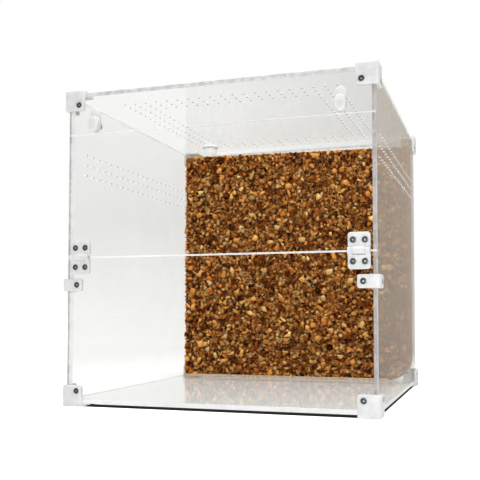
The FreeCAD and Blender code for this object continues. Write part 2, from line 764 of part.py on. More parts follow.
def cork_background():
    """Makes the cork slab that stands on the floor against the back panel, with its main lumps."""
    body = new_body("cork_background")
    outline = new_sketch(body, "cork_outline")
    draw_polygon(outline, [
        ("0", "0"),
        ("cork_width", "0"),
        ("cork_width", "cork_right_height"),
        ("0", "cork_left_height"),
    ])
    pad(body, outline, "cork_depth - cork_relief")
    corner = number_of("cork_width")

    def is_lower_right(edge):
        middle = edge.CenterOfMass
        return runs_along(edge, Vector(0, 0, 1)) and near(middle.x, corner) and near(middle.y, 0)

    round_edges(body, "cork_round", "cork_corner", is_lower_right)
    high = cork_lumps(body, "cork_high_lumps", HIGH_LUMPS, "cork_relief")
    low = cork_lumps(body, "cork_low_lumps", LOW_LUMPS, "low_lump_share * cork_relief")
    repeat(body, "cork_lump_grid", [high, low], "lump_pitch", "lump_step", "lump_cells", "lump_cells")
    place(body, "left + panel + cork_side_gap", "back - panel", "floor", FACING_FRONT)


# The checks and the files

NODES = [
    "bottom_panel", "top_panel", "left_wall", "right_wall", "back_panel",
    "front_top_strip", "front_door", "front_lower_panel",
    "bracket_front_left_bottom", "bracket_front_right_bottom",
    "bracket_rear_left_bottom", "bracket_rear_right_bottom",
    "bracket_front_left_top", "bracket_front_right_top",
    "bracket_rear_left_top", "bracket_rear_right_top",
    "bracket_screws_front", "bracket_screws_rear", "bracket_screws_left", "bracket_screws_right",
    "side_clip_left", "side_clip_right", "clip_screws",
    "hinge_left_lower_leaf", "hinge_left_door_leaf", "hinge_left_pin",
    "hinge_right_lower_leaf", "hinge_right_door_leaf", "hinge_right_pin",
    "hinge_screws_lower", "hinge_screws_door",
    "latch_left", "latch_left_screw", "latch_left_washer",
    "latch_right", "latch_right_screw", "latch_right_washer",
    "port_plug", "cork_background",
]


def check_document():
    """Stops if any object failed, or if a piece has no valid solid."""
    for thing in DOC.Objects:
        if {"Invalid", "Error"} & set(thing.State):
            raise RuntimeError("failed object: " + thing.Label)
    for label in NODES:
        shape = DOC.getObjectsByLabel(label)[0].Shape
        if shape.isNull() or not shape.isValid() or not shape.Solids:
            raise RuntimeError("bad shape: " + label)


def write_parts():
    """Writes one STEP file for each piece."""
    os.makedirs("parts", exist_ok=True)
    for label in NODES:
        shape = DOC.getObjectsByLabel(label)[0].Shape
        shape.exportStep("parts/%s.step" % label)
        print("%-28s %2d solids %10.1f mm3" % (label, len(shape.Solids), shape.Volume))


fill_sheet()
floor_and_roof()
side_walls()
back_panel()
front_panels()
all_brackets()
side_clips()
hinges()
fasteners()
latches()
port_plug()
cork_background()
DOC.recompute()
check_document()
write_parts()
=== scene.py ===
"""Looks of the clear acrylic insect terrarium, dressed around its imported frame.

Sizes here are in millimetres.
"""
import math
import random

import bmesh
import bpy
from mathutils import Matrix, Vector


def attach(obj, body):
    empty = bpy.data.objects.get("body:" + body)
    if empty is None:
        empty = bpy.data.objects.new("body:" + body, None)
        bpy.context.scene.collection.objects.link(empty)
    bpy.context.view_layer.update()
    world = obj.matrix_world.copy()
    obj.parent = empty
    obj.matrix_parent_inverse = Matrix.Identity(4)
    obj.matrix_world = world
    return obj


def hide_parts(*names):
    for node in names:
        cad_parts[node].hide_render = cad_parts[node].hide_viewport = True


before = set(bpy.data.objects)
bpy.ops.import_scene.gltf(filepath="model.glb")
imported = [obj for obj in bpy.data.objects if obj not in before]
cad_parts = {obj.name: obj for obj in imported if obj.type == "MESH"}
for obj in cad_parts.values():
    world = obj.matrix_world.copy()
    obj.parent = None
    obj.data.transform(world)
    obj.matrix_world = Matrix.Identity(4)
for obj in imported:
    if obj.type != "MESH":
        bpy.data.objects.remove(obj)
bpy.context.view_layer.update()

MM = 0.001
SEED = 7

# The box, as the solids have it
HALF = 150.0
FRONT = -147.35
BACK = 152.65
BOTTOM = 3.0
TOP = 303.0
SHEET = 4.0
FLOOR = BOTTOM + SHEET
ROOF = TOP - SHEET
LOWER_TOP = 142.0
DOOR_BOTTOM = 143.0
DOOR_TOP = 262.0
STRIP_BOTTOM = 263.0
PLATE = 3.0
ARM = 17.5
FRONT_FACE = FRONT - PLATE
BACK_FACE = BACK + PLATE

# The gap that keeps two faces from sharing a place
HAIR = 0.04

# Screws and what they hold
BRACKET_SCREW = 12.0
CLIP_SCREW = 11.5
CLIP_LEVEL = 116.3
CLIP_HEIGHT = 12.0
CLIP_ARM = 17.0
HINGE_SIDE = 135.0
HINGE_LEVEL = 142.5
HINGE_AXIS_Y = -150.85
HINGE_WIDTH = 19.5
HINGE_REACH = 16.0
HINGE_ACROSS = 5.2
HINGE_UP = 9.25
LATCH_SIDE = 120.0
LATCH_LEVEL = 270.3
HEAD_RADIUS = 2.75
HEAD_DEPTH = 2.0
HEAD_PLAY = 0.1
THREAD_RADIUS = 1.5
SHANK_PLAY = 0.15
TAPPED_RADIUS = 1.53
VENT_RADIUS = 0.58
VENT_RIM = 0.32
VENT_STEPS = 14


# Placing: columns are the local x, y and z directions

def facing(x, y, z, side):
    """A matrix in metres whose local z points out of one side of the box, from a point in millimetres."""
    turns = {
        "up": ((1, 0, 0), (0, 1, 0), (0, 0, 1)),
        "front": ((1, 0, 0), (0, 0, 1), (0, -1, 0)),
        "back": ((-1, 0, 0), (0, 0, 1), (0, 1, 0)),
        "right": ((0, 1, 0), (0, 0, 1), (1, 0, 0)),
        "left": ((0, -1, 0), (0, 0, 1), (-1, 0, 0)),
    }
    turn = Matrix(turns[side]).transposed().to_4x4()
    return Matrix.Translation(Vector((x, y, z)) * MM) @ turn @ Matrix.Scale(MM, 4)


# Outlines: each takes an inset, towards the material, and gives points

SHEET_SIDES = {"left": (-1, 0, 0), "low": (0, -1, 0), "right": (1, 0, 0), "high": (0, 1, 0)}


def rectangle(x0, y0, x1, y1, square=""):
    """square names the sides, of left, right, low and high, without a chamfer, a hair off the next sheet."""
    def points(inset):
        left, low, right, high = (HAIR if side in square else inset for side in SHEET_SIDES)
        west, south, east, north = x0 + left, y0 + low, x1 - right, y1 - high
        return [(west, south), (east, south), (east, north), (west, north)]
    return points


def arc(x, y, radius, start, sweep, steps):
    """Points round (x, y), with both ends. The angles are in degrees."""
    angles = [math.radians(start + sweep * i / steps) for i in range(steps + 1)]
    return [(x + radius * math.cos(angle), y + radius * math.sin(angle)) for angle in angles]


def rounded_rectangle(x0, y0, x1, y1, radii, steps=6):
    """radii: lower left, lower right, upper right, upper left."""
    corners = ((x0, y0, 1, 1, 180), (x1, y0, -1, 1, 270), (x1, y1, -1, -1, 0), (x0, y1, 1, -1, 90))

    def points(inset):
        out = []
        for (x, y, dx, dy, start), radius in zip(corners, radii):
            r = max(radius - inset, 0.01)
            out += arc(x + dx * (inset + r), y + dy * (inset + r), r, start, 90, steps)
        return out
    return points


def circle(x, y, radius, steps, hole=False):
    def points(inset):
        return arc(x, y, radius + inset if hole else radius - inset, 0, 360, steps)[:-1]
    return points


def capsule(low, high, radius, steps=14):
    """An upright slot with round ends, from low to high."""
    def points(inset):
        r = radius - inset
        return arc(0, high - radius, r, 0, 180, steps) + arc(0, low + radius, r, 180, 180, steps)
    return points


# Walls: a list of (inset, height) from the lower cap to the upper cap

def chamfered(z0, z1, size):
    return [(size, z0), (0, z0 + size), (0, z1 - size), (size, z1)]


def rounded(z0, z1, low, high, steps=5):
    """Rounds the lower rim by low and the upper rim by high."""
    angles = [math.radians(90 * i / steps) for i in range(steps + 1)]
    wall = [(low * (1 - math.sin(angle)), z0 + low * (1 - math.cos(angle))) for angle in angles]
    wall += [(high * (1 - math.cos(angle)), z1 - high * (1 - math.sin(angle))) for angle in angles]
    return wall


def rings(outline, wall):
    return [[(x, y, z) for x, y in outline(inset)] for inset, z in wall]


def round_rows(x, y, steps, wall, start=0):
    """Circles whose radius changes with height: wall is a list of (radius, z)."""
    return [[(px, py, z) for px, py in arc(x, y, radius, start, 360, steps)[:-1]] for radius, z in wall]


def add_rows(bm, loop, place):
    """Adds the points of each ring of a loop."""
    return [[bm.verts.new(place @ Vector(point)) for point in points] for points in loop]


def add_walls(bm, rows):
    """Joins each row of points to the next one, and gives the faces."""
    walls = []
    for low, high in zip(rows, rows[1:]):
        for i in range(len(low)):
            j = (i + 1) % len(low)
            walls.append(bm.faces.new((low[i], low[j], high[j], high[i])))
    return walls


def fill_between(bm, rows):
    """Closes the flat face that the given rows of points bound."""
    edges = [bm.edges.get((row[i], row[(i + 1) % len(row)])) for row in rows for i in range(len(row))]
    bmesh.ops.triangle_fill(bm, use_beauty=True, use_dissolve=False, edges=edges)


def add_solid(bm, loops, place):
    """Adds a closed body: the first loop is the outline and the rest are holes."""
    all_rows = []
    for loop in loops:
        rows = add_rows(bm, loop, place)
        add_walls(bm, rows)
        all_rows.append(rows)
    for cap in (0, -1):
        fill_between(bm, [rows[cap] for rows in all_rows])


# Edges that turn by more degrees than this are shaded sharp
SHARP = 35


def new_object(name, data):
    thing = bpy.data.objects.new(name, data)
    bpy.context.scene.collection.objects.link(thing)
    return thing


def finish_mesh(bm, name, sharp=SHARP):
    """Turns a bmesh into a mesh with outward normals and soft shading below an angle."""
    bmesh.ops.recalc_face_normals(bm, faces=bm.faces)
    mesh = bpy.data.meshes.new(name)
    for face in bm.faces:
        face.smooth = True
    bm.to_mesh(mesh)
    bm.free()
    mesh.set_sharp_from_angle(angle=math.radians(sharp))
    return mesh


def solid_mesh(name, loops, place):
    """A mesh of one closed body, as add_solid makes it."""
    bm = bmesh.new()
    add_solid(bm, loops, place)
    return finish_mesh(bm, name)


def lathe_mesh(name, profile, place, steps):
    """A closed round body from (radius, z) pairs, the first and last of which are on the axis."""
    bm = bmesh.new()
    rows = add_rows(bm, round_rows(0, 0, steps, profile[1:-1]), place)
    add_walls(bm, rows)
    for (radius, z), row in ((profile[0], rows[0]), (profile[-1], rows[-1])):
        tip = bm.verts.new(place @ Vector((0, 0, z)))
        for i in range(steps):
            bm.faces.new((row[i], row[(i + 1) % steps], tip))
    return finish_mesh(bm, name)


def combine(mesh, cutters, operation, name):
    """Joins meshes to a mesh, or cuts them out of it, and gives the result."""
    main = new_object(name + "_work", mesh)
    helpers = []
    for i, cutter in enumerate(cutters):
        helper = new_object("%s_tool_%d" % (name, i), cutter)
        step = main.modifiers.new("step", "BOOLEAN")
        step.operation = operation
        step.solver = "EXACT"
        step.object = helper
        helpers.append(helper)
    bpy.context.view_layer.update()
    graph = bpy.context.evaluated_depsgraph_get()
    result = bpy.data.meshes.new_from_object(main.evaluated_get(graph))
    result.name = name
    for helper in helpers + [main]:
        bpy.data.objects.remove(helper)
    for polygon in result.polygons:
        polygon.use_smooth = True
    result.set_sharp_from_angle(angle=math.radians(SHARP))
    return result


def show(name, mesh, body, materials, node):
    """Links a piece, rides it on its body, and lets it stand for the named solid."""
    piece = new_object(name, mesh)
    for material in materials:
        mesh.materials.append(material)
    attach(piece, body)
    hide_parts(node)


# Materials

def linear(red, green, blue):
    """An 8-bit colour, as the shaders take it."""
    def channel(value):
        value /= 255.0
        return value / 12.92 if value <= 0.04045 else ((value + 0.055) / 1.055) ** 2.4
    return (channel(red), channel(green), channel(blue), 1.0)


# The dust on the side walls: its colours at a wall's foot and at its top; the right wall's is darker towards
# its foot
DUST = ((0.74, 0.67, 0.57, 1), (0.74, 0.67, 0.57, 1))
CORK_DUST = ((0.4, 0.31, 0.23, 1), (0.72, 0.61, 0.48, 1))
# Their foot is clean below the first height, and dusty from the second
CLEAN_FOOT = (14.0, 44.0)


class Paint:
    """The node tree of a new material, or of the world, and short calls that add and link nodes."""

    def __init__(self, name, world=None):
        self.material = world or bpy.data.materials.new(name)
        self.material.use_nodes = True
        self.tree = self.material.node_tree
        self.tree.nodes.clear()
        self.out = self.add("OutputWorld" if world else "OutputMaterial")

    def add(self, kind, inputs=None, **values):
        """Adds a node. inputs has plain values, or other nodes' outputs, by the socket's name or place."""
        item = self.tree.nodes.new("ShaderNode" + kind)
        for key, value in values.items():
            setattr(item, key, value)
        for key, value in (inputs or {}).items():
            if isinstance(value, (int, float, tuple)):
                item.inputs[key].default_value = value
            else:
                self.tree.links.new(value, item.inputs[key])
        return item

    def math(self, operation, *values):
        return self.add("Math", dict(enumerate(values)), operation=operation).outputs[0]

    def most(self, *values):
        """The largest of some numbers."""
        largest = values[0]
        for value in values[1:]:
            largest = self.math("MAXIMUM", largest, value)
        return largest

    def position(self, *scale):
        """Object coordinates in millimetres times a scale."""
        place = self.add("TexCoord").outputs["Object"]
        scale = tuple(s / MM for s in scale)
        return self.add("Mapping", {"Vector": place, "Scale": scale}).outputs["Vector"]

    def noise(self, size, detail=3.0, roughness=0.5, stretch=(1, 1, 1)):
        """Noise with cells of about size millimetres."""
        place = self.position(*[s / size for s in stretch])
        item = self.add("TexNoise", {"Vector": place, "Scale": 1.0, "Detail": detail, "Roughness": roughness})
        return item.outputs["Fac"]

    def ramp(self, factor, *stops):
        """A colour ramp from (position, colour) pairs."""
        item = self.add("ValToRGB", {"Fac": factor})
        elements = item.color_ramp.elements
        while len(elements) > 1:
            elements.remove(elements[-1])
        for i, (place, colour) in enumerate(stops):
            element = elements[0] if i == 0 else elements.new(place)
            element.position = place
            element.color = colour
        return item.outputs["Color"]

    def grey(self, factor, low, high, start=0.3, end=0.7):
        """Maps a factor to plain numbers."""
        item = self.add("MapRange", {
            "Value": factor, "From Min": start, "From Max": end, "To Min": low, "To Max": high,
        })
        return item.outputs["Result"]

    def mix(self, factor, first, second, blend="MIX"):
        inputs = {"Factor": factor, "A": first, "B": second}
        return self.add("Mix", inputs, data_type="RGBA", blend_type=blend).outputs["Result"]

    def multiply(self, colour, *shades):
        """A colour times some others."""
        for shade in shades:
            colour = self.mix(1.0, colour, shade, "MULTIPLY")
        return colour

    def bump(self, height, distance, strength=1.0):
        inputs = {"Height": height, "Distance": distance * MM, "Strength": strength}
        return self.add("Bump", inputs).outputs["Normal"]

    def principled(self, **values):
        inputs = {key.replace("_", " "): value for key, value in values.items()}
        return self.add("BsdfPrincipled", inputs).outputs[0]

    def surface(self, shader):
        self.tree.links.new(shader, self.out.inputs["Surface"])
        return self.material

    def lets_lamps_through(self, shader, tint):
        """Plain see-through for lamp light and for light scattered inside the box."""
        path = self.add("LightPath").outputs
        clear = self.add("BsdfTransparent", {"Color": tint}).outputs[0]
        either = self.most(path["Is Shadow Ray"], path["Is Diffuse Ray"])
        return self.add("MixShader", {0: either, 1: shader, 2: clear}).outputs[0]


def acrylic(name, index=1.06, roughness=0.0, dust=0.0, dust_colours=DUST):
    """Clear polished sheet, faintly uneven. dust is how thick a layer of it lies on the sheet."""
    paint = Paint(name)
    smudge = paint.noise(60, 4.0, 0.6)
    # The photograph shows weak mirroring, as a polarising filter leaves it, so the index is low
    shader = paint.principled(
        Base_Color=paint.ramp(smudge, (0.35, (0.95, 0.955, 0.945, 1)), (0.7, (0.965, 0.97, 0.96, 1))),
        Roughness=roughness,
        IOR=index,
        Transmission_Weight=1.0,
        Normal=paint.bump(paint.noise(70, 1.0), 0.01, 0.1),
    )
    if dust:
        facing_on = paint.add("LayerWeight").outputs["Facing"]
        upright = paint.math("MAXIMUM", paint.math("SUBTRACT", 1.0, facing_on), 0.02)
        level = paint.add("SeparateXYZ", {"Vector": paint.position(1, 1, 1)}).outputs["Z"]
        cloud = paint.grey(paint.noise(30, 5.0, 0.6), 0.8 * dust, 1.2 * dust)
        cloud = paint.math("MULTIPLY", cloud, paint.grey(level, 0.1, 1.0, *CLEAN_FOOT))
        # What the layer lets through falls off with the length of the way through it
        clear = paint.math("EXPONENT", paint.math("MULTIPLY", paint.math("DIVIDE", cloud, upright), -1.0))
        colour = paint.mix(paint.grey(level, 0.0, 1.0, BOTTOM, TOP), *dust_colours)
        powder = paint.add("BsdfDiffuse", {"Color": colour}).outputs[0]
        shader = paint.add("MixShader", {0: clear, 1: powder, 2: shader}).outputs[0]
    return paint.surface(paint.lets_lamps_through(shader, (0.93, 0.935, 0.93, 1)))


def acrylic_edge(name, low, high, painted_glow=0.0):
    """Cut edges of the sheet: whitish with saw marks, and a painted glow, an emission for light piped out of
    the sheet.
    """
    paint = Paint(name)
    marks = paint.noise(0.5, 2.0, 0.6)
    shader = paint.principled(
        Base_Color=paint.ramp(paint.noise(7, 3.0, 0.6), (0.4, linear(*low)), (0.6, linear(*high))),
        Roughness=paint.grey(marks, 0.25, 0.45),
        IOR=1.15,
        Transmission_Weight=0.12,
        Emission_Strength=painted_glow,
        Normal=paint.bump(marks, 0.02, 0.4),
    )
    return paint.surface(paint.lets_lamps_through(shader, (0.93, 0.93, 0.94, 1)))


def cemented():
    """A side that is cemented to the next sheet, which leaves no face to see."""
    paint = Paint("acrylic_joint")
    return paint.surface(paint.add("BsdfTransparent", {"Color": (0.98, 0.98, 0.98, 1)}).outputs[0])


def printed_plastic(name, low, high, transmission, roughness, index=1.5, painted_glow=0.0):
    """Translucent white plastic with fine layers and a cloudy inside, which can pass on light from behind;
    its emission is a painted glow.
    """
    paint = Paint(name)
    layers = paint.noise(0.35, 1.0, 0.5, (0.02, 0.02, 1))
    grain = paint.noise(0.6, 3.0, 0.6)
    height = paint.math("ADD", layers, paint.math("MULTIPLY", grain, 0.6))
    shader = paint.principled(
        Base_Color=paint.ramp(paint.noise(7, 4.0, 0.55), (0.3, linear(*low)), (0.7, linear(*high))),
        Roughness=paint.grey(grain, roughness - 0.08, roughness + 0.1),
        IOR=index,
        Transmission_Weight=transmission,
        Subsurface_Weight=0.8,
        Subsurface_Radius=(1.0, 1.0, 1.0),
        Subsurface_Scale=0.004,
        Emission_Strength=painted_glow,
        Normal=paint.bump(height, 0.03, 0.35),
    )
    if transmission:
        shader = paint.lets_lamps_through(shader, (0.5, 0.5, 0.5, 1))
    return paint.surface(shader)


def steel(name, low, high, roughness):
    """Turned steel with fine uneven plating."""
    paint = Paint(name)
    grain = paint.noise(0.25, 3.0, 0.6)
    return paint.surface(paint.principled(
        Base_Color=paint.ramp(paint.noise(1.6, 3.0, 0.6), (0.3, linear(*low)), (0.7, linear(*high))),
        Metallic=1.0,
        Roughness=paint.grey(grain, roughness - 0.1, roughness + 0.12),
        Normal=paint.bump(grain, 0.01, 0.4),
    ))


GOLD = linear(255, 220, 146)
TAN = linear(253, 186, 100)
BROWN = linear(226, 142, 66)
DEEP = linear(152, 82, 28)
DARK = linear(44, 21, 6)
PRESSED_GRANULE = 4.5


def cork_surface(paint, colour, pits, roughness, specular, relief):
    """Dull cork, pitted by a noise. relief is the depth of its pits, and the strength of their shading."""
    return paint.surface(paint.principled(
        Base_Color=colour,
        Roughness=paint.grey(pits, *roughness),
        Specular_IOR_Level=specular,
        Normal=paint.bump(pits, *relief),
    ))


def cork_granules():
    """Each granule has its own tone, with paler and darker flecks in it."""
    paint = Paint("cork_granules")
    tone = paint.add("Attribute", attribute_name="grain").outputs["Fac"]
    depth = paint.add("Attribute", attribute_name="depth").outputs["Fac"]
    base = paint.ramp(tone, (0.0, DARK), (0.12, DEEP), (0.4, BROWN), (0.72, TAN), (1.0, GOLD))
    flecks = paint.ramp(
        paint.noise(1.6, 5.0, 0.7),
        (0.3, (0.62, 0.55, 0.5, 1)), (0.5, (1, 1, 1, 1)), (0.72, (1.14, 1.12, 1.08, 1)),
    )
    patches = paint.ramp(
        paint.noise(15, 2.0, 0.55),
        (0.38, (0.8, 0.75, 0.7, 1)), (0.62, (1.34, 1.34, 1.32, 1)),
    )
    # Painted shade: what lies deeper between the granules is darkened, as little light reaches there
    sunk = paint.ramp(
        depth, (0.4, (1, 1, 1, 1)), (0.58, (0.5, 0.37, 0.24, 1)), (0.8, (0.12, 0.055, 0.015, 1)),
    )
    colour = paint.multiply(base, flecks, patches, sunk)
    return cork_surface(paint, colour, paint.noise(0.7, 4.0, 0.65), (0.6, 0.9), 0.03, (0.35, 0.8))


def cork_pale():
    """Fine pale cork dust pressed along the slab's foot."""
    paint = Paint("cork_pale")
    speck = paint.noise(1.8, 5.0, 0.7)
    colour = paint.ramp(speck, (0.35, linear(190, 150, 116)), (0.6, linear(242, 222, 198)))
    return cork_surface(paint, colour, speck, (0.7, 0.95), 0.15, (0.3, 0.6))


def cork_pressed():
    """The slab's cut and pressed faces: flat granules in dark binder."""
    paint = Paint("cork_pressed")
    place = paint.position(*[1 / PRESSED_GRANULE] * 3)
    cells = paint.add("TexVoronoi", {"Vector": place, "Scale": 1.0})
    split = paint.add("SeparateColor", {"Color": cells.outputs["Color"]})
    base = paint.ramp(split.outputs[0], (0.0, DARK), (0.2, DEEP), (0.45, BROWN), (0.8, TAN), (1.0, GOLD))
    gap = paint.ramp(cells.outputs["Distance"], (0.35, (1, 1, 1, 1)), (0.75, (0.3, 0.24, 0.2, 1)))
    colour = paint.multiply(base, gap)
    return cork_surface(paint, colour, paint.noise(0.8, 4.0, 0.65), (0.65, 0.95), 0.25, (0.3, 0.7))


FACE = acrylic("acrylic_face")
LEFT_FACE = acrylic("acrylic_left_face", dust=0.034)
RIGHT_FACE = acrylic("acrylic_right_face", 1.03, 0.04, 0.09, CORK_DUST)
JOINT = cemented()
# Lit and shaded copies of one cut edge: EDGE and VENT_WALL carry a painted glow, PLAIN_EDGE and RIGHT_EDGE
# painted shade
EDGE = acrylic_edge("acrylic_edge", (240, 239, 240), (254, 253, 254), 0.16)
PLAIN_EDGE = acrylic_edge("acrylic_plain_edge", (222, 222, 222), (248, 248, 247))
RIGHT_EDGE = acrylic_edge("acrylic_right_edge", (206, 200, 200), (230, 226, 228))
VENT_WALL = acrylic_edge("acrylic_vent_wall", (248, 248, 248), (254, 254, 254), 0.26)
# A near-black ring at the vents' rims, a painted shade for how dark the holes look
PAINTED_RIM_SHADE = acrylic_edge("acrylic_vent_rim_painted_shade", (14, 14, 16), (34, 34, 36))
# The printed whites' emission is a painted glow, strongest on the plug
WHITE = printed_plastic("printed_white", (226, 227, 226), (244, 245, 244), 0.0, 0.36, painted_glow=0.05)
CLEAR_WHITE = printed_plastic("latch_white", (242, 243, 242), (254, 254, 254), 0.35, 0.3, painted_glow=0.1)
PLUG_WHITE = printed_plastic("plug_white", (246, 248, 250), (254, 254, 254), 0.3, 0.3, 1.25, 0.22)
SCREW = steel("screw_dark", (44, 44, 46), (84, 84, 86), 0.3)
# The screws' paler rim and socket floor are painted highlights on the dark steel
RIM_HIGHLIGHT = steel("screw_rim_painted_highlight", (84, 84, 86), (140, 140, 142), 0.32)
SOCKET = steel("screw_socket", (96, 96, 96), (206, 206, 206), 0.45)
BRIGHT = steel("bright_steel", (178, 178, 180), (208, 208, 210), 0.26)
PALE = cork_pale()
GRANULES = cork_granules()
PRESSED = cork_pressed()


# Acrylic panels

EDGE_CHAMFER = 0.45
HOLE_CHAMFER = 0.12
# A chamfered wall's bands: lower chamfer, straight wall, upper chamfer
BANDS = 3
# Where a panel's materials stand in its list
ON_FACE, ON_EDGE, ON_RIM, ON_JOINT, ON_VENT, ON_LEFT, ON_RIGHT = range(7)


def panel(name, body, place, outline, holes, glued="", square="", face=FACE, edge=EDGE, ends=None,
          drilled="high"):
    """A sheet in place with small chamfers. holes is a list of (x, y, radius, steps).

    The sides named in glued are cemented to another sheet. Those named in square lie close to one and have
    no chamfer. ends has the materials of the left and right sides, if they differ. drilled is the face, high
    or low, where the vents get a dark rim, a painted shade for how dark the holes look there.
    """
    bm = bmesh.new()
    half = SHEET / 2
    loops = [rings(rectangle(*outline, glued + " " + square), chamfered(-half, half, EDGE_CHAMFER))]
    for x, y, radius, steps in holes:
        size = VENT_RIM if radius == VENT_RADIUS else HOLE_CHAMFER
        loops.append(rings(circle(x, y, radius, steps, hole=True), chamfered(-half, half, size)))
    add_solid(bm, loops, place)
    bmesh.ops.recalc_face_normals(bm, faces=bm.faces)
    turn = place.to_3x3()
    outward = (turn @ Vector((0, 0, 1))).normalized()
    for item in bm.faces:
        item.material_index = ON_FACE if abs(item.normal.dot(outward)) > 0.99 else ON_EDGE
    faces = list(bm.faces)
    at = BANDS * 4
    for side, way in SHEET_SIDES.items():
        for item in faces[:at]:
            if item.normal.dot((turn @ Vector(way)).normalized()) < 0.7:
                continue
            if side in glued:
                item.material_index = ON_JOINT
            elif side in ("left", "right"):
                item.material_index = ON_LEFT if side == "left" else ON_RIGHT
    rim = {"high": BANDS - 1, "low": 0}.get(drilled)
    for x, y, radius, steps in holes:
        if radius == VENT_RADIUS:
            for i, item in enumerate(faces[at:at + BANDS * steps]):
                item.material_index = ON_RIM if i // steps == rim else ON_VENT
        at += BANDS * steps
    mesh = finish_mesh(bm, name, 20)
    materials = (face, edge, PAINTED_RIM_SHADE, JOINT, VENT_WALL, *(ends or (edge, edge)))
    show(name, mesh, body, materials, name.replace("sheet_", ""))


def tapped(points):
    return [(x, y, TAPPED_RADIUS, 16) for x, y in points]


SIDES = (-1, 1)
SIDE_NAMES = (("left", -1), ("right", 1))
LOW = BOTTOM + BRACKET_SCREW
HIGH = TOP - BRACKET_SCREW
ACROSS = HALF - BRACKET_SCREW
front_middle = facing(0, FRONT + SHEET / 2, 0, "front")
hinge_columns = [side * HINGE_SIDE + way * HINGE_ACROSS for side in SIDES for way in SIDES]

# Each sheet reaches a little into the seams, whose cut edges nearly close them in the photograph
SEAM_REACH = 0.3
# The front sheets' right ends take the darkest edge copy, a painted shade
FRONT_ENDS = (PLAIN_EDGE, RIGHT_EDGE)
panel("sheet_front_lower_panel", "frame", front_middle, (-HALF, FLOOR, HALF, LOWER_TOP + SEAM_REACH), tapped(
    [(x, HINGE_LEVEL - HINGE_UP) for x in hinge_columns]
    + [(side * ACROSS, LOW) for side in SIDES]
    + [(side * (HALF - CLIP_SCREW), CLIP_LEVEL) for side in SIDES]
), "low", ends=FRONT_ENDS)
door_outline = (-HALF, DOOR_BOTTOM - SEAM_REACH, HALF, DOOR_TOP + SEAM_REACH)
door_screws = tapped([(x, HINGE_LEVEL + HINGE_UP) for x in hinge_columns])
panel("sheet_front_door", "door", front_middle, door_outline, door_screws,
      square="high", edge=VENT_WALL, ends=FRONT_ENDS)
panel("sheet_front_top_strip", "frame", front_middle, (-HALF, STRIP_BOTTOM - SEAM_REACH, HALF, ROOF), tapped(
    [(side * ACROSS, HIGH) for side in SIDES] + [(side * LATCH_SIDE, LATCH_LEVEL) for side in SIDES]
), "high", "low", edge=VENT_WALL, ends=FRONT_ENDS)
panel("sheet_back_panel", "frame", facing(0, BACK - SHEET / 2, 0, "back"), (-HALF, FLOOR, HALF, ROOF), tapped(
    [(x, z) for x in (-ACROSS, ACROSS) for z in (LOW, HIGH)]
), "low high")

WALL_VENT_ROWS = (227.4, 237.7, 248.0)
WALL_VENT_COLUMNS = 21
WALL_VENT_PITCH = 12.25
WALL_VENT_START = -119.85
WALL_SCREWS = (FRONT + BRACKET_SCREW, BACK - BRACKET_SCREW)
wall_screws = [(y, z) for y in WALL_SCREWS for z in (LOW, HIGH)] + [(FRONT + CLIP_SCREW, CLIP_LEVEL)]
wall_vents = [
    (WALL_VENT_START + WALL_VENT_PITCH * i, z, VENT_RADIUS, VENT_STEPS)
    for i in range(WALL_VENT_COLUMNS) for z in WALL_VENT_ROWS
]
# Most of the right wall's vents are pale dots in the photograph, so they get no dark rim
for name, side, face, edge, drilled in (
    ("left", -1, LEFT_FACE, EDGE, "high"), ("right", 1, RIGHT_FACE, RIGHT_EDGE, ""),
):
    panel(
        "sheet_%s_wall" % name, "frame", facing(side * (HALF - SHEET / 2), 0, 0, "right"),
        (FRONT + SHEET + HAIR, FLOOR, BACK - SHEET, ROOF), tapped(wall_screws) + wall_vents,
        "low high right", face=face, edge=edge, drilled=drilled,
    )

ROOF_VENTS = 20
ROOF_VENT_BAND = 3
ROOF_VENT_PITCH = 11.5
ROOF_VENT_START = (-109.25, -110.35)
PORT = (-104.0, 108.65)
PORT_RADIUS = 8.6
panel("sheet_bottom_panel", "frame", facing(0, 0, BOTTOM + SHEET / 2, "up"), (-HALF, FRONT, HALF, BACK), [])
roof_vents = []
for column in range(ROOF_VENTS):
    for row in range(ROOF_VENTS):
        from_rim = min(column, row, ROOF_VENTS - 1 - column, ROOF_VENTS - 1 - row)
        at_port = column < ROOF_VENT_BAND and row >= ROOF_VENTS - ROOF_VENT_BAND
        if from_rim < ROOF_VENT_BAND and not at_port:
            x, y = (start + ROOF_VENT_PITCH * i for start, i in zip(ROOF_VENT_START, (column, row)))
            roof_vents.append((x, y, VENT_RADIUS, VENT_STEPS))
panel(
    "sheet_top_panel", "frame", facing(0, 0, ROOF + SHEET / 2, "up"), (-HALF, FRONT, HALF, BACK),
    roof_vents + [(*PORT, PORT_RADIUS, 48)], edge=PLAIN_EDGE, ends=(VENT_WALL, VENT_WALL), drilled="low",
)


# Printed brackets and clips

HOLE_STEPS = 28


def cutter_cylinder(place, radius, length):
    return solid_mesh("cutter", [round_rows(0, 0, HOLE_STEPS, ((radius, 0), (radius, length)))], place)


def box_mesh(low, high):
    bm = bmesh.new()
    loop = rings(rectangle(low[0], low[1], high[0], high[1]), ((0, low[2]), (0, high[2])))
    add_solid(bm, [loop], Matrix.Scale(MM, 4))
    return bm


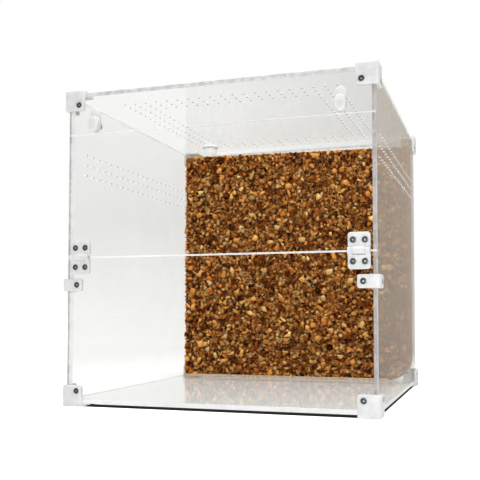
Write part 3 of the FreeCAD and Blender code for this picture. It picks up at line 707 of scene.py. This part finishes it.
def wrap_plates(name, low, high, hollow_low_z, free_radius, edge_radius, screws):
    """Plates that wrap a corner of the box: a rounded block with its inner corner cut away.

    The box's own corner is at the origin, and the block goes from low to high. Its far ends are rounded by
    free_radius and its other edges by edge_radius. screws is a list of (x, y, z, side).
    """
    bm = box_mesh(low, high)
    bmesh.ops.dissolve_limit(bm, angle_limit=0.01, verts=bm.verts, edges=bm.edges)

    def at_end(edge, axis, end):
        return all(abs(v.co[axis] - end[axis] * MM) < 1e-7 for v in edge.verts)

    def is_free(edge):
        ends = [at_end(edge, axis, high) for axis in range(3)]
        # A clip has a free end below too
        if low[2] < -PLATE - 1:
            ends[2] = ends[2] or at_end(edge, 2, low)
        return sum(ends) == 2

    def bevel(edges, radius, segments):
        bmesh.ops.bevel(bm, geom=edges, offset=radius * MM, offset_type="OFFSET", segments=segments,
                        profile=0.5, affect="EDGES")

    bevel([edge for edge in bm.edges if is_free(edge)], free_radius, 6)
    bevel([edge for edge in bm.edges if edge.calc_face_angle(0) > math.radians(60)], edge_radius, 4)
    block = finish_mesh(bm, name)
    past = 5
    hollow = box_mesh((-HAIR, -HAIR, min(hollow_low_z, -HAIR)), [reach + past for reach in high])
    cutters = [finish_mesh(hollow, "hollow")]
    for x, y, z, side in screws:
        outer = facing(x, y, z, side) @ Matrix.Translation((0, 0, -HEAD_DEPTH))
        cutters.append(cutter_cylinder(outer, HEAD_RADIUS + HEAD_PLAY, HEAD_DEPTH + 1))
        shank = facing(x, y, z, side) @ Matrix.Translation((0, 0, -PLATE - 1))
        cutters.append(cutter_cylinder(shank, THREAD_RADIUS + SHANK_PLAY, PLATE + 1))
    return combine(block, cutters, "DIFFERENCE", name)


def mirrored(mesh, name, ways, corner):
    """A copy of a mesh at another corner of the box. ways has -1 for each axis that it is mirrored along."""
    copy = mesh.copy()
    copy.name = name
    copy.transform(Matrix.Translation(Vector(corner) * MM) @ Matrix.Diagonal((*ways, 1)))
    if math.prod(ways) < 0:
        copy.flip_normals()
    return copy


bracket = wrap_plates(
    "bracket", (-PLATE, -PLATE, -PLATE), (ARM, ARM, ARM), 0, 3.0, 1.2,
    [(BRACKET_SCREW, -PLATE, BRACKET_SCREW, "front"), (-PLATE, BRACKET_SCREW, BRACKET_SCREW, "left")],
)
for depth, y, y_way in (("front", FRONT, 1), ("rear", BACK, -1)):
    for side, way in SIDE_NAMES:
        for level, z, z_way in (("bottom", BOTTOM, 1), ("top", TOP, -1)):
            node = "bracket_%s_%s_%s" % (depth, side, level)
            mesh = mirrored(bracket, "corner_" + node, (-way, y_way, z_way), (way * HALF, y, z))
            show("corner_" + node, mesh, "frame", (WHITE,), node)

clip_half = CLIP_HEIGHT / 2
clip = wrap_plates(
    "clip", (-PLATE, -PLATE, -clip_half), (CLIP_ARM, CLIP_ARM, clip_half), -clip_half - 5, 2.4, 1.0,
    [(CLIP_SCREW, -PLATE, 0, "front"), (-PLATE, CLIP_SCREW, 0, "left")],
)
for name, way in SIDE_NAMES:
    mesh = mirrored(clip, "tie_clip_" + name, (-way, 1, 1), (way * HALF, FRONT, CLIP_LEVEL))
    show("tie_clip_" + name, mesh, "frame", (WHITE,), "side_clip_" + name)


# Hinges

KNUCKLE = 3.2
STANDOFF = 3.5
RAMP = 4.2
KNUCKLE_END = 4.2
KNUCKLE_PLAY = 0.3
KNUCKLE_ARC = 225
KNUCKLE_STEPS = 24
SLIT = 0.12
OVERLAP = 1.2
LEAF_CORNER = 2.6
PIN_HOLE = 1.05
PIN_RADIUS = 1.0
PIN_CHAMFER = 0.2


def knuckle_mesh(way, width, place):
    """One knuckle and its ramp, as a profile across the hinge swept along it."""
    def outline(inset):
        round_end = arc(0, 0, KNUCKLE - inset, KNUCKLE_ARC, -KNUCKLE_ARC, KNUCKLE_STEPS)
        points = [(x, -way * y) for x, y in round_end]
        points.append((STANDOFF - inset * 0.2, way * inset))
        points.append((STANDOFF - inset * 0.2, way * (RAMP + OVERLAP)))
        points.append((STANDOFF - PLATE + inset, way * (RAMP + OVERLAP)))
        points.append((STANDOFF - PLATE + inset, way * (RAMP - inset * 0.4)))
        return points

    return solid_mesh("knuckle", [rings(outline, chamfered(0, width, 0.3))], place)


def hinge_leaf(name, body, side, way, spans, node):
    """A leaf with rounded corners and sunk screws, its knuckles, and the hole for the pin."""
    far = HINGE_LEVEL + way * HINGE_REACH
    near = HINGE_LEVEL + way * (KNUCKLE + KNUCKLE_PLAY)
    radii = (0.3, 0.3, LEAF_CORNER, LEAF_CORNER) if way > 0 else (LEAF_CORNER, LEAF_CORNER, 0.3, 0.3)
    half = HINGE_WIDTH / 2
    plate_outline = rounded_rectangle(side - half, min(far, near), side + half, max(far, near), radii)
    loops = [rings(plate_outline, rounded(HAIR - PLATE, 0, 0.15, 0.8))]
    shank = THREAD_RADIUS + SHANK_PLAY
    head = HEAD_RADIUS + HEAD_PLAY
    for across in (-HINGE_ACROSS, HINGE_ACROSS):
        loops.append(round_rows(side + across, HINGE_LEVEL + way * HINGE_UP, HOLE_STEPS, (
            (shank, HAIR - PLATE), (shank, -HEAD_DEPTH), (head, -HEAD_DEPTH), (head, -0.15), (head + 0.15, 0),
        )))
    plate = solid_mesh(name, loops, facing(0, FRONT_FACE, 0, "front"))
    # A knuckle's own x is the world's y, its y the world's z, and it is swept along the world's x
    turn = Matrix(((0, 1, 0), (0, 0, 1), (1, 0, 0))).transposed().to_4x4()
    knuckles = []
    for start, width in spans:
        at = Matrix.Translation(Vector((side + start, HINGE_AXIS_Y, HINGE_LEVEL)) * MM)
        knuckles.append(knuckle_mesh(way, width, at @ turn @ Matrix.Scale(MM, 4)))
    joined = combine(plate, knuckles, "UNION", name)
    along = facing(side - half - 1, HINGE_AXIS_Y, HINGE_LEVEL, "right")
    drilled = combine(joined, [cutter_cylinder(along, PIN_HOLE, HINGE_WIDTH + 2)], "DIFFERENCE", name)
    show(name, drilled, body, (WHITE,), node)


middle_width = HINGE_WIDTH - 2 * KNUCKLE_END - 2 * SLIT
end_spans = [(-HINGE_WIDTH / 2, KNUCKLE_END), (HINGE_WIDTH / 2 - KNUCKLE_END, KNUCKLE_END)]
middle_span = [(-middle_width / 2, middle_width)]
half_pin = HINGE_WIDTH / 2
pin_profile = [
    (0, -half_pin), (PIN_RADIUS - PIN_CHAMFER, -half_pin), (PIN_RADIUS, PIN_CHAMFER - half_pin),
    (PIN_RADIUS, half_pin - PIN_CHAMFER), (PIN_RADIUS - PIN_CHAMFER, half_pin), (0, half_pin),
]
for name, way in SIDE_NAMES:
    side = way * HINGE_SIDE
    hinge_leaf("leaf_%s_lower" % name, "frame", side, -1, end_spans, "hinge_%s_lower_leaf" % name)
    hinge_leaf("leaf_%s_door" % name, "door", side, 1, middle_span, "hinge_%s_door_leaf" % name)
    pin_place = facing(side, HINGE_AXIS_Y, HINGE_LEVEL, "right")
    pin = lathe_mesh("pin_" + name, pin_profile, pin_place, 20)
    show("pin_" + name, pin, "frame", (BRIGHT,), "hinge_%s_pin" % name)


# Screws

SOCKET_RADIUS = 1.15
SOCKET_DEPTH = 0.8
SOCKET_CHAMFER = 0.15
HEAD_RIM = 0.35
THREAD_PITCH = 0.5
THREAD_DEPTH = 0.28
# How far down a pitch the thread's root lies, and how long the plain end is
THREAD_ROOT = 0.35
THREAD_END = 0.3
TIP_RADIUS = 1.1
SCREW_STEPS = 30


def add_screw(bm, place, length, turn):
    """A low-head screw whose head's top is at the place's origin: hexagon socket, threaded shank."""
    head = add_rows(bm, round_rows(0, 0, SCREW_STEPS, (
        (THREAD_RADIUS, -HEAD_DEPTH), (HEAD_RADIUS, -HEAD_DEPTH), (HEAD_RADIUS, -HEAD_RIM),
        (HEAD_RADIUS - 0.1, -HEAD_RIM * 0.3), (HEAD_RADIUS - HEAD_RIM, 0),
    )), place)
    # After the underside and the straight side comes the rim, in paler steel as a painted highlight
    for face in add_walls(bm, head)[2 * SCREW_STEPS:]:
        face.material_index = 2
    socket = add_rows(bm, round_rows(0, 0, 6, (
        (SOCKET_RADIUS + SOCKET_CHAMFER, 0), (SOCKET_RADIUS, -SOCKET_CHAMFER), (SOCKET_RADIUS, -SOCKET_DEPTH),
    ), turn), place)
    add_walls(bm, socket)
    fill_between(bm, (head[-1], socket[0]))
    # The socket's floor takes a paler steel, a painted highlight
    bm.faces.new(socket[-1]).material_index = 1
    z = -HEAD_DEPTH
    end = -HEAD_DEPTH - length
    thread = []
    while z - THREAD_PITCH > end + THREAD_END:
        thread.append((THREAD_RADIUS - THREAD_DEPTH, z - THREAD_PITCH * THREAD_ROOT))
        z -= THREAD_PITCH
        thread.append((THREAD_RADIUS, z))
    thread.append((TIP_RADIUS, end))
    shank = add_rows(bm, round_rows(0, 0, SCREW_STEPS, thread), place)
    add_walls(bm, [head[0]] + shank)
    bm.faces.new(shank[-1])


WASHER_DEPTH = 0.5
WASHER_PLAY = 0.1
LATCH_PLAY = 0.3
LATCH_BITE = 6
TIP_RECESS = 0.2
SCREW_LENGTH = PLATE - HEAD_DEPTH + SHEET - TIP_RECESS
LATCH_SCREW_LENGTH = WASHER_DEPTH + WASHER_PLAY + SHEET + LATCH_PLAY + LATCH_BITE
screw_turns = random.Random(SEED)


def screws(name, body, seats, length, node):
    """All screws of one node. seats is a list of (x, y, z, side)."""
    bm = bmesh.new()
    for x, y, z, side in seats:
        add_screw(bm, facing(x, y, z, side), length, screw_turns.uniform(0, 60))
    show(name, finish_mesh(bm, name, 30), body, (SCREW, SOCKET, RIM_HIGHLIGHT), node)


seats = {
    "front": [(x, FRONT_FACE, z, "front") for x in (-ACROSS, ACROSS) for z in (LOW, HIGH)],
    "rear": [(x, BACK_FACE, z, "back") for x in (-ACROSS, ACROSS) for z in (LOW, HIGH)],
}
for name, way in SIDE_NAMES:
    seats[name] = [(way * (HALF + PLATE), y, z, name) for y in WALL_SCREWS for z in (LOW, HIGH)]
for name, places in seats.items():
    screws("screws_bracket_" + name, "frame", places, SCREW_LENGTH, "bracket_screws_" + name)
places = [(way * (HALF - CLIP_SCREW), FRONT_FACE, CLIP_LEVEL, "front") for way in SIDES]
places += [(way * (HALF + PLATE), FRONT + CLIP_SCREW, CLIP_LEVEL, name) for name, way in SIDE_NAMES]
screws("screws_clip", "frame", places, SCREW_LENGTH, "clip_screws")
for name, body, way in (("lower", "frame", -1), ("door", "door", 1)):
    places = [(x, FRONT_FACE, HINGE_LEVEL + way * HINGE_UP, "front") for x in hinge_columns]
    screws("screws_hinge_" + name, body, places, SCREW_LENGTH, "hinge_screws_" + name)


# Turn latches

GRIP_HALF = 7.6
GRIP_DEPTH = 8.0
LATCH_RADIUS = 5.0
TONGUE_REACH = 15.8
TONGUE_DEPTH = 3.5
WASHER_RADIUS = 3.5
WASHER_HOLE = 1.6
WASHER_FACE = FRONT + SHEET + WASHER_PLAY

grip_loop = rings(capsule(-GRIP_HALF, GRIP_HALF, LATCH_RADIUS), rounded(0, GRIP_DEPTH, 0.4, 1.9, 7))
tongue_loop = rings(capsule(-LATCH_RADIUS, TONGUE_REACH, LATCH_RADIUS), rounded(0, TONGUE_DEPTH, 0.4, 1.2))
washer_loops = [
    rings(circle(0, 0, WASHER_RADIUS, 36), rounded(0, WASHER_DEPTH, 0.05, 0.15, 3)),
    rings(circle(0, 0, WASHER_HOLE, 24, hole=True), chamfered(0, WASHER_DEPTH, 0.05)),
]
for name, way in SIDE_NAMES:
    side = way * LATCH_SIDE
    body = name + "_latch"
    knob = "knob_" + name
    place = facing(side, FRONT - LATCH_PLAY, LATCH_LEVEL, "front")
    joined = combine(
        solid_mesh(knob, [grip_loop], place), [solid_mesh("tongue", [tongue_loop], place)], "UNION", knob,
    )
    thread = cutter_cylinder(place @ Matrix.Translation((0, 0, -1)), TAPPED_RADIUS, LATCH_BITE + 1)
    drilled = combine(joined, [thread], "DIFFERENCE", knob)
    show(knob, drilled, body, (CLEAR_WHITE,), "latch_" + name)
    head_top = WASHER_FACE + WASHER_DEPTH + HEAD_DEPTH
    screws("screw_" + knob, body, [(side, head_top, LATCH_LEVEL, "back")], LATCH_SCREW_LENGTH,
           "latch_%s_screw" % name)
    washer = solid_mesh("disc_" + name, washer_loops, facing(side, WASHER_FACE, LATCH_LEVEL, "back"))
    show("disc_" + name, washer, body, (BRIGHT,), "latch_%s_washer" % name)


# Port plug

PLUG_RADIUS = 8.5
PLUG_STRAIGHT = 7.5
PLUG_DOME = 5.0
FLANGE_RADIUS = 10.5
FLANGE_DEPTH = 2.0
DISH_LEVEL = 1.6
DOME_STEPS = 10

# From the tip of the dome, over the flange on the roof, to the middle of the dish
plug_profile = []
for i in range(DOME_STEPS + 1):
    angle = math.radians(90 * i / DOME_STEPS)
    plug_profile.append((PLUG_RADIUS * math.sin(angle), -PLUG_STRAIGHT - PLUG_DOME * math.cos(angle)))
plug_profile += [
    (PLUG_RADIUS, HAIR), (FLANGE_RADIUS - 0.3, HAIR), (FLANGE_RADIUS, 0.3), (FLANGE_RADIUS, 1.3),
    (FLANGE_RADIUS - 0.2, 1.75), (FLANGE_RADIUS - 0.7, FLANGE_DEPTH), (8.4, FLANGE_DEPTH), (8.0, 1.7),
    (7.4, DISH_LEVEL), (0, DISH_LEVEL),
]
plug = lathe_mesh("plug_port", plug_profile, facing(*PORT, TOP, "up"), 56)
show("plug_port", plug, "frame", (PLUG_WHITE,), "port_plug")


# Cork background

CORK_SIDE = 145.0
CORK_FRONT = 119.65
CORK_BACK = BACK - SHEET - HAIR
CORK_LOW = FLOOR + HAIR
CORK_TOP_LEFT = 295.0
CORK_TOP_RIGHT = 290.5
CORK_CORNER = 26.0
RELIEF = 6.5
FOOT = 2.2
FOOT_DEPTH = 6.0
SLAB_INSET = 0.8
# The depth at which the painted shade between the granules is at its darkest
GRAIN_DEPTH = 7.0
CORNER_STEPS = 16
# Granules on the sides and the top stand this far apart, give or take
EDGE_STEP = 5
EDGE_PLAY = 2
# The middle of the rounded corner
CORNER_X = CORK_SIDE - CORK_CORNER
CORNER_Z = CORK_LOW + CORK_CORNER


def cork_top(x):
    return CORK_TOP_LEFT + (CORK_TOP_RIGHT - CORK_TOP_LEFT) * (x + CORK_SIDE) / (2 * CORK_SIDE)


def cork_outline(inset):
    """The slab seen from the front, with its rounded lower right corner."""
    points = [(-CORK_SIDE + inset, CORK_LOW + inset)]
    points += arc(CORNER_X, CORNER_Z, CORK_CORNER - inset, -90, 90, CORNER_STEPS)
    points.append((CORK_SIDE - inset, CORK_TOP_RIGHT - inset))
    points.append((-CORK_SIDE + inset, CORK_TOP_LEFT - inset))
    return points


def random_direction(dice):
    return Vector([dice.gauss(0, 1) for _ in range(3)]).normalized()


def grain_shapes(dice, count):
    """A stock of small irregular convex lumps, each as points and triangles."""
    shapes = []
    for _ in range(count):
        bm = bmesh.new()
        for _ in range(dice.randint(7, 11)):
            bm.verts.new(random_direction(dice) * dice.uniform(0.8, 1.05))
        inner = bmesh.ops.convex_hull(bm, input=bm.verts)["geom_interior"]
        inner = [item for item in inner if isinstance(item, bmesh.types.BMVert)]
        bmesh.ops.delete(bm, geom=inner, context="VERTS")
        bm.verts.index_update()
        shapes.append(([v.co.copy() for v in bm.verts], [[v.index for v in f.verts] for f in bm.faces]))
        bm.free()
    return shapes


def inside_corner(x, z, margin):
    """Whether a point keeps inside the rounded lower right corner."""
    near = math.hypot(x - CORNER_X, z - CORNER_Z) < CORK_CORNER - margin
    return near or x < CORNER_X or z > CORNER_Z


def cork_grains():
    """Granules over the front face, the sides and the top, as points, faces, tones and depths."""
    dice = random.Random(SEED)
    shapes = grain_shapes(dice, 40)
    points, faces, tones, depths = [], [], [], []

    def add(centre, size, tone, face):
        verts, tris = dice.choice(shapes)
        angle = dice.uniform(0, 2 * math.pi)
        turn = Matrix.Rotation(angle, 3, random_direction(dice))
        stretch = Vector((1.0, dice.uniform(0.65, 0.95), dice.uniform(0.5, 0.85)))
        base = len(points)
        for v in verts:
            p = turn @ (v * stretch) * size + centre
            x = min(max(p.x, -CORK_SIDE), CORK_SIDE)
            z = min(max(p.z, CORK_LOW + FOOT), cork_top(x))
            y = min(max(p.y, CORK_FRONT), CORK_BACK)
            points.append((x * MM, y * MM, z * MM))
            tones.append(tone)
            depths.append(min(depth_from[face](x, y, z) / GRAIN_DEPTH, 1.0))
        faces.extend([base + i for i in tri] for tri in tris)

    def tone():
        if dice.random() < 0.1:
            return dice.uniform(0.0, 0.12)
        return min(max(dice.gauss(0.56, 0.3), 0.14), 1.0)

    # How deep a point lies behind the front, a side or the top
    depth_from = {
        "front": lambda x, y, z: y - CORK_FRONT,
        "side": lambda x, y, z: CORK_SIDE - abs(x),
        "top": lambda x, y, z: cork_top(x) - z,
    }

    def scatter(step, low_size, high_size, share, rise):
        columns = int(2 * CORK_SIDE / step)
        rows = int((CORK_TOP_LEFT - CORK_LOW) / step)
        for column in range(columns):
            for row in range(rows):
                if dice.random() > share(row / rows):
                    continue
                x = -CORK_SIDE + (column + dice.random()) * step
                z = CORK_LOW + (row + dice.random()) * step
                size = dice.uniform(low_size, high_size)
                if z > cork_top(x) - size * 0.4 or not inside_corner(x, z, size * 0.8):
                    continue
                y = CORK_FRONT + RELIEF - rise * size + dice.uniform(-0.8, 1.2)
                add(Vector((x, max(y, CORK_FRONT + size * 0.6), z)), size, tone(), "front")

    scatter(9.5, 3.6, 7.2, lambda level: 0.7 if level < 0.5 else 0.5, 0.5)
    scatter(5.2, 2.4, 4.4, lambda level: 0.95, 0.35)
    scatter(3.6, 1.3, 2.3, lambda level: 0.6, 0.5)
    edge_rows = [CORK_FRONT + EDGE_STEP * i for i in range(1, 6)]
    for z in range(int(CORK_LOW) + 3, int(CORK_TOP_RIGHT) - 2, EDGE_STEP):
        for side in SIDES:
            for row in edge_rows:
                y = row + dice.uniform(-EDGE_PLAY, EDGE_PLAY)
                level = z + dice.uniform(-EDGE_PLAY, EDGE_PLAY)
                size = dice.uniform(2.2, 3.8)
                if side > 0 and level < CORNER_Z:
                    continue
                pressed_tone = 0.5 + 0.4 * (tone() - 0.5)
                add(Vector((side * (CORK_SIDE - size * 0.6), y, level)), size, pressed_tone, "side")
    for x in range(-int(CORK_SIDE) + 4, int(CORK_SIDE) - 2, EDGE_STEP):
        for row in edge_rows:
            y = row + dice.uniform(-EDGE_PLAY, EDGE_PLAY)
            across = x + dice.uniform(-EDGE_PLAY, EDGE_PLAY)
            size = dice.uniform(2.2, 3.6)
            add(Vector((across, y, cork_top(across) - size * 0.6)), size, tone(), "top")
    return points, faces, tones, depths


# The bare pale foot along the lower rim, up to the rounded corner
foot_outline = rounded_rectangle(
    -CORK_SIDE, CORK_LOW, CORNER_X, CORK_LOW + FOOT + 0.6, (0.3, 1.2, 1.2, 0.3), 3,
)
foot_loop = rings(foot_outline, chamfered(0, FOOT_DEPTH, 0.3))
foot = solid_mesh("cork_foot", [foot_loop], facing(0, CORK_FRONT + FOOT_DEPTH, 0, "front"))
show("cork_foot", foot, "frame", (PALE,), "cork_background")

# The slab under the granules
slab_wall = ((SLAB_INSET, 0), (SLAB_INSET, CORK_BACK - CORK_FRONT - RELIEF))
slab = solid_mesh("cork_slab", [rings(cork_outline, slab_wall)], facing(0, CORK_BACK, 0, "front"))
grain_points, grain_faces, grain_tones, grain_depths = cork_grains()
loose = bpy.data.meshes.new("loose_grains")
loose.from_pydata(grain_points, [], grain_faces)
bm = bmesh.new()
bm.from_mesh(loose)
grains = finish_mesh(bm, "cork_grains", 180)
for label, values in (("grain", grain_tones), ("depth", grain_depths)):
    attribute = grains.attributes.new(label, "FLOAT", "POINT")
    attribute.data.foreach_set("value", values)
show("cork_grains", grains, "frame", (GRANULES,), "cork_background")
show("cork_slab", slab, "frame", (PRESSED,), "cork_background")


# Floor, lights and camera

LIGHT_LEVEL = 0.48
FLOOR_GLOW = 0.96
FLOOR_THROUGH_NEAR = 0.4
FLOOR_THROUGH_FAR = 0.62


def floor_material():
    """A pale floor that shows white, with a painted contact shadow just under the box's edges."""
    paint = Paint("floor")
    place = paint.add("TexCoord").outputs["Object"]
    split = paint.add("SeparateXYZ", {"Vector": place})
    from_side = paint.math("SUBTRACT", HALF * MM, paint.math("ABSOLUTE", split.outputs["X"]))
    middle = (FRONT + BACK) / 2 * MM
    along = paint.math("ABSOLUTE", paint.math("SUBTRACT", split.outputs["Y"], middle))
    depth = paint.math("MINIMUM", from_side, paint.math("SUBTRACT", HALF * MM, along))
    starts = paint.grey(depth, 0.0, 1.0, -0.0005, 0.0015)
    ends = paint.grey(depth, 1.0, 0.0, 0.018, 0.024)
    path = paint.add("LightPath").outputs
    # The painted contact shadow is a dark band that only a direct look under the box's edges meets
    line = paint.math("MULTIPLY", paint.math("MULTIPLY", starts, ends), path["Is Camera Ray"])
    pale = paint.ramp(paint.noise(300, 2.0), (0.3, (0.88, 0.88, 0.88, 1)), (0.7, (0.9, 0.9, 0.9, 1)))
    diffuse = paint.add("BsdfDiffuse", {"Color": paint.mix(line, pale, (0.03, 0.03, 0.03, 1))})
    direct = paint.math("MULTIPLY", path["Is Camera Ray"], FLOOR_GLOW)
    indirect = paint.most(path["Is Glossy Ray"], path["Is Transmission Ray"])
    away = paint.add("VectorMath", {0: place}, operation="LENGTH")
    through = paint.grey(away.outputs["Value"], FLOOR_THROUGH_NEAR, FLOOR_THROUGH_FAR, 0.1, 1.5)
    shown = paint.most(direct, paint.math("MULTIPLY", indirect, through))
    shown = paint.math("MULTIPLY", shown, paint.math("SUBTRACT", 1.0, line))
    glow = paint.add("Emission", {"Strength": shown})
    return paint.surface(paint.add("AddShader", {0: diffuse.outputs[0], 1: glow.outputs[0]}).outputs[0])


FLOOR_REACH = 40.0
corners = [(x * FLOOR_REACH, y * FLOOR_REACH, 0) for x, y in ((-1, -1), (1, -1), (1, 1), (-1, 1))]
floor_mesh = bpy.data.meshes.new("studio_floor")
floor_mesh.from_pydata(corners, [], [range(4)])
floor_mesh.materials.append(floor_material())
new_object("studio_floor", floor_mesh)

# The sky lights the scene evenly, and shows brighter to the camera and through the sheets
world = bpy.data.worlds.new("studio")
bpy.context.scene.world = world
sky = Paint("studio", world)
way_out = sky.add("TexCoord").outputs["Generated"]
level = sky.add("SeparateXYZ", {"Vector": way_out}).outputs["Z"]
light = sky.math("MULTIPLY", sky.grey(level, 0.75, 1.15, -0.2, 0.9), LIGHT_LEVEL)
# Through the sheet and in it the backdrop is a touch darker some way above the horizon
shown = sky.most(sky.grey(level, 1.07, 0.92, 0.0, 0.12), sky.grey(level, 0.92, 1.0, 0.12, 0.25))
# It is darker still above and behind the box's right half
far_corner = sky.add("VectorMath", {0: way_out, 1: (-0.03, 0.95, 0.3)}, operation="DISTANCE")
shown = sky.math("MULTIPLY", shown, sky.grey(far_corner.outputs["Value"], 0.72, 1.0, 0.03, 0.32))
path = sky.add("LightPath").outputs
shown = sky.most(shown, path["Is Camera Ray"])
seen = sky.most(path["Is Glossy Ray"], path["Is Transmission Ray"], path["Is Camera Ray"])
strength = sky.add("Mix", {"Factor": seen, "A": light, "B": shown}, data_type="FLOAT").outputs["Result"]
background = sky.add("Background", {"Color": (1, 1, 1, 1), "Strength": strength})
sky.surface(background.outputs[0])


def lamp(name, place, target, size, watts):
    data = bpy.data.lights.new(name, "AREA")
    data.shape = "DISK"
    data.size = size
    data.energy = watts
    thing = new_object(name, data)
    thing.location = place
    thing.rotation_euler = (Vector(target) - Vector(place)).to_track_quat("-Z", "Y").to_euler()


lamp("key", (0.34, -1.0, 0.11), (0.0, -0.1, 0.12), 0.4, 3.0)
lamp("top", (0.0, -0.11, 1.05), (0.0, 0.05, 0.12), 0.3, 5.0)

FOCAL_PIXELS = 740.76
FRAME_PIXELS = 480
CAMERA_TURN = (92.62153, 0.0587, 17.37312)
SENSOR = 36.0
camera_data = bpy.data.cameras.new("camera")
camera_data.sensor_width = SENSOR
camera_data.lens = SENSOR * FOCAL_PIXELS / FRAME_PIXELS
camera_data.shift_x = -0.05242
camera_data.shift_y = 0.07828
camera_data.clip_start = 0.01
camera = new_object("camera", camera_data)
camera.location = (0.24664, -0.77477, 0.09053)
camera.rotation_euler = [math.radians(angle) for angle in CAMERA_TURN]
bpy.context.scene.camera = camera
bpy.context.scene.view_settings.view_transform = "Standard"

for node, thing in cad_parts.items():
    if not thing.hide_render:
        print("still the plain solid:", node)
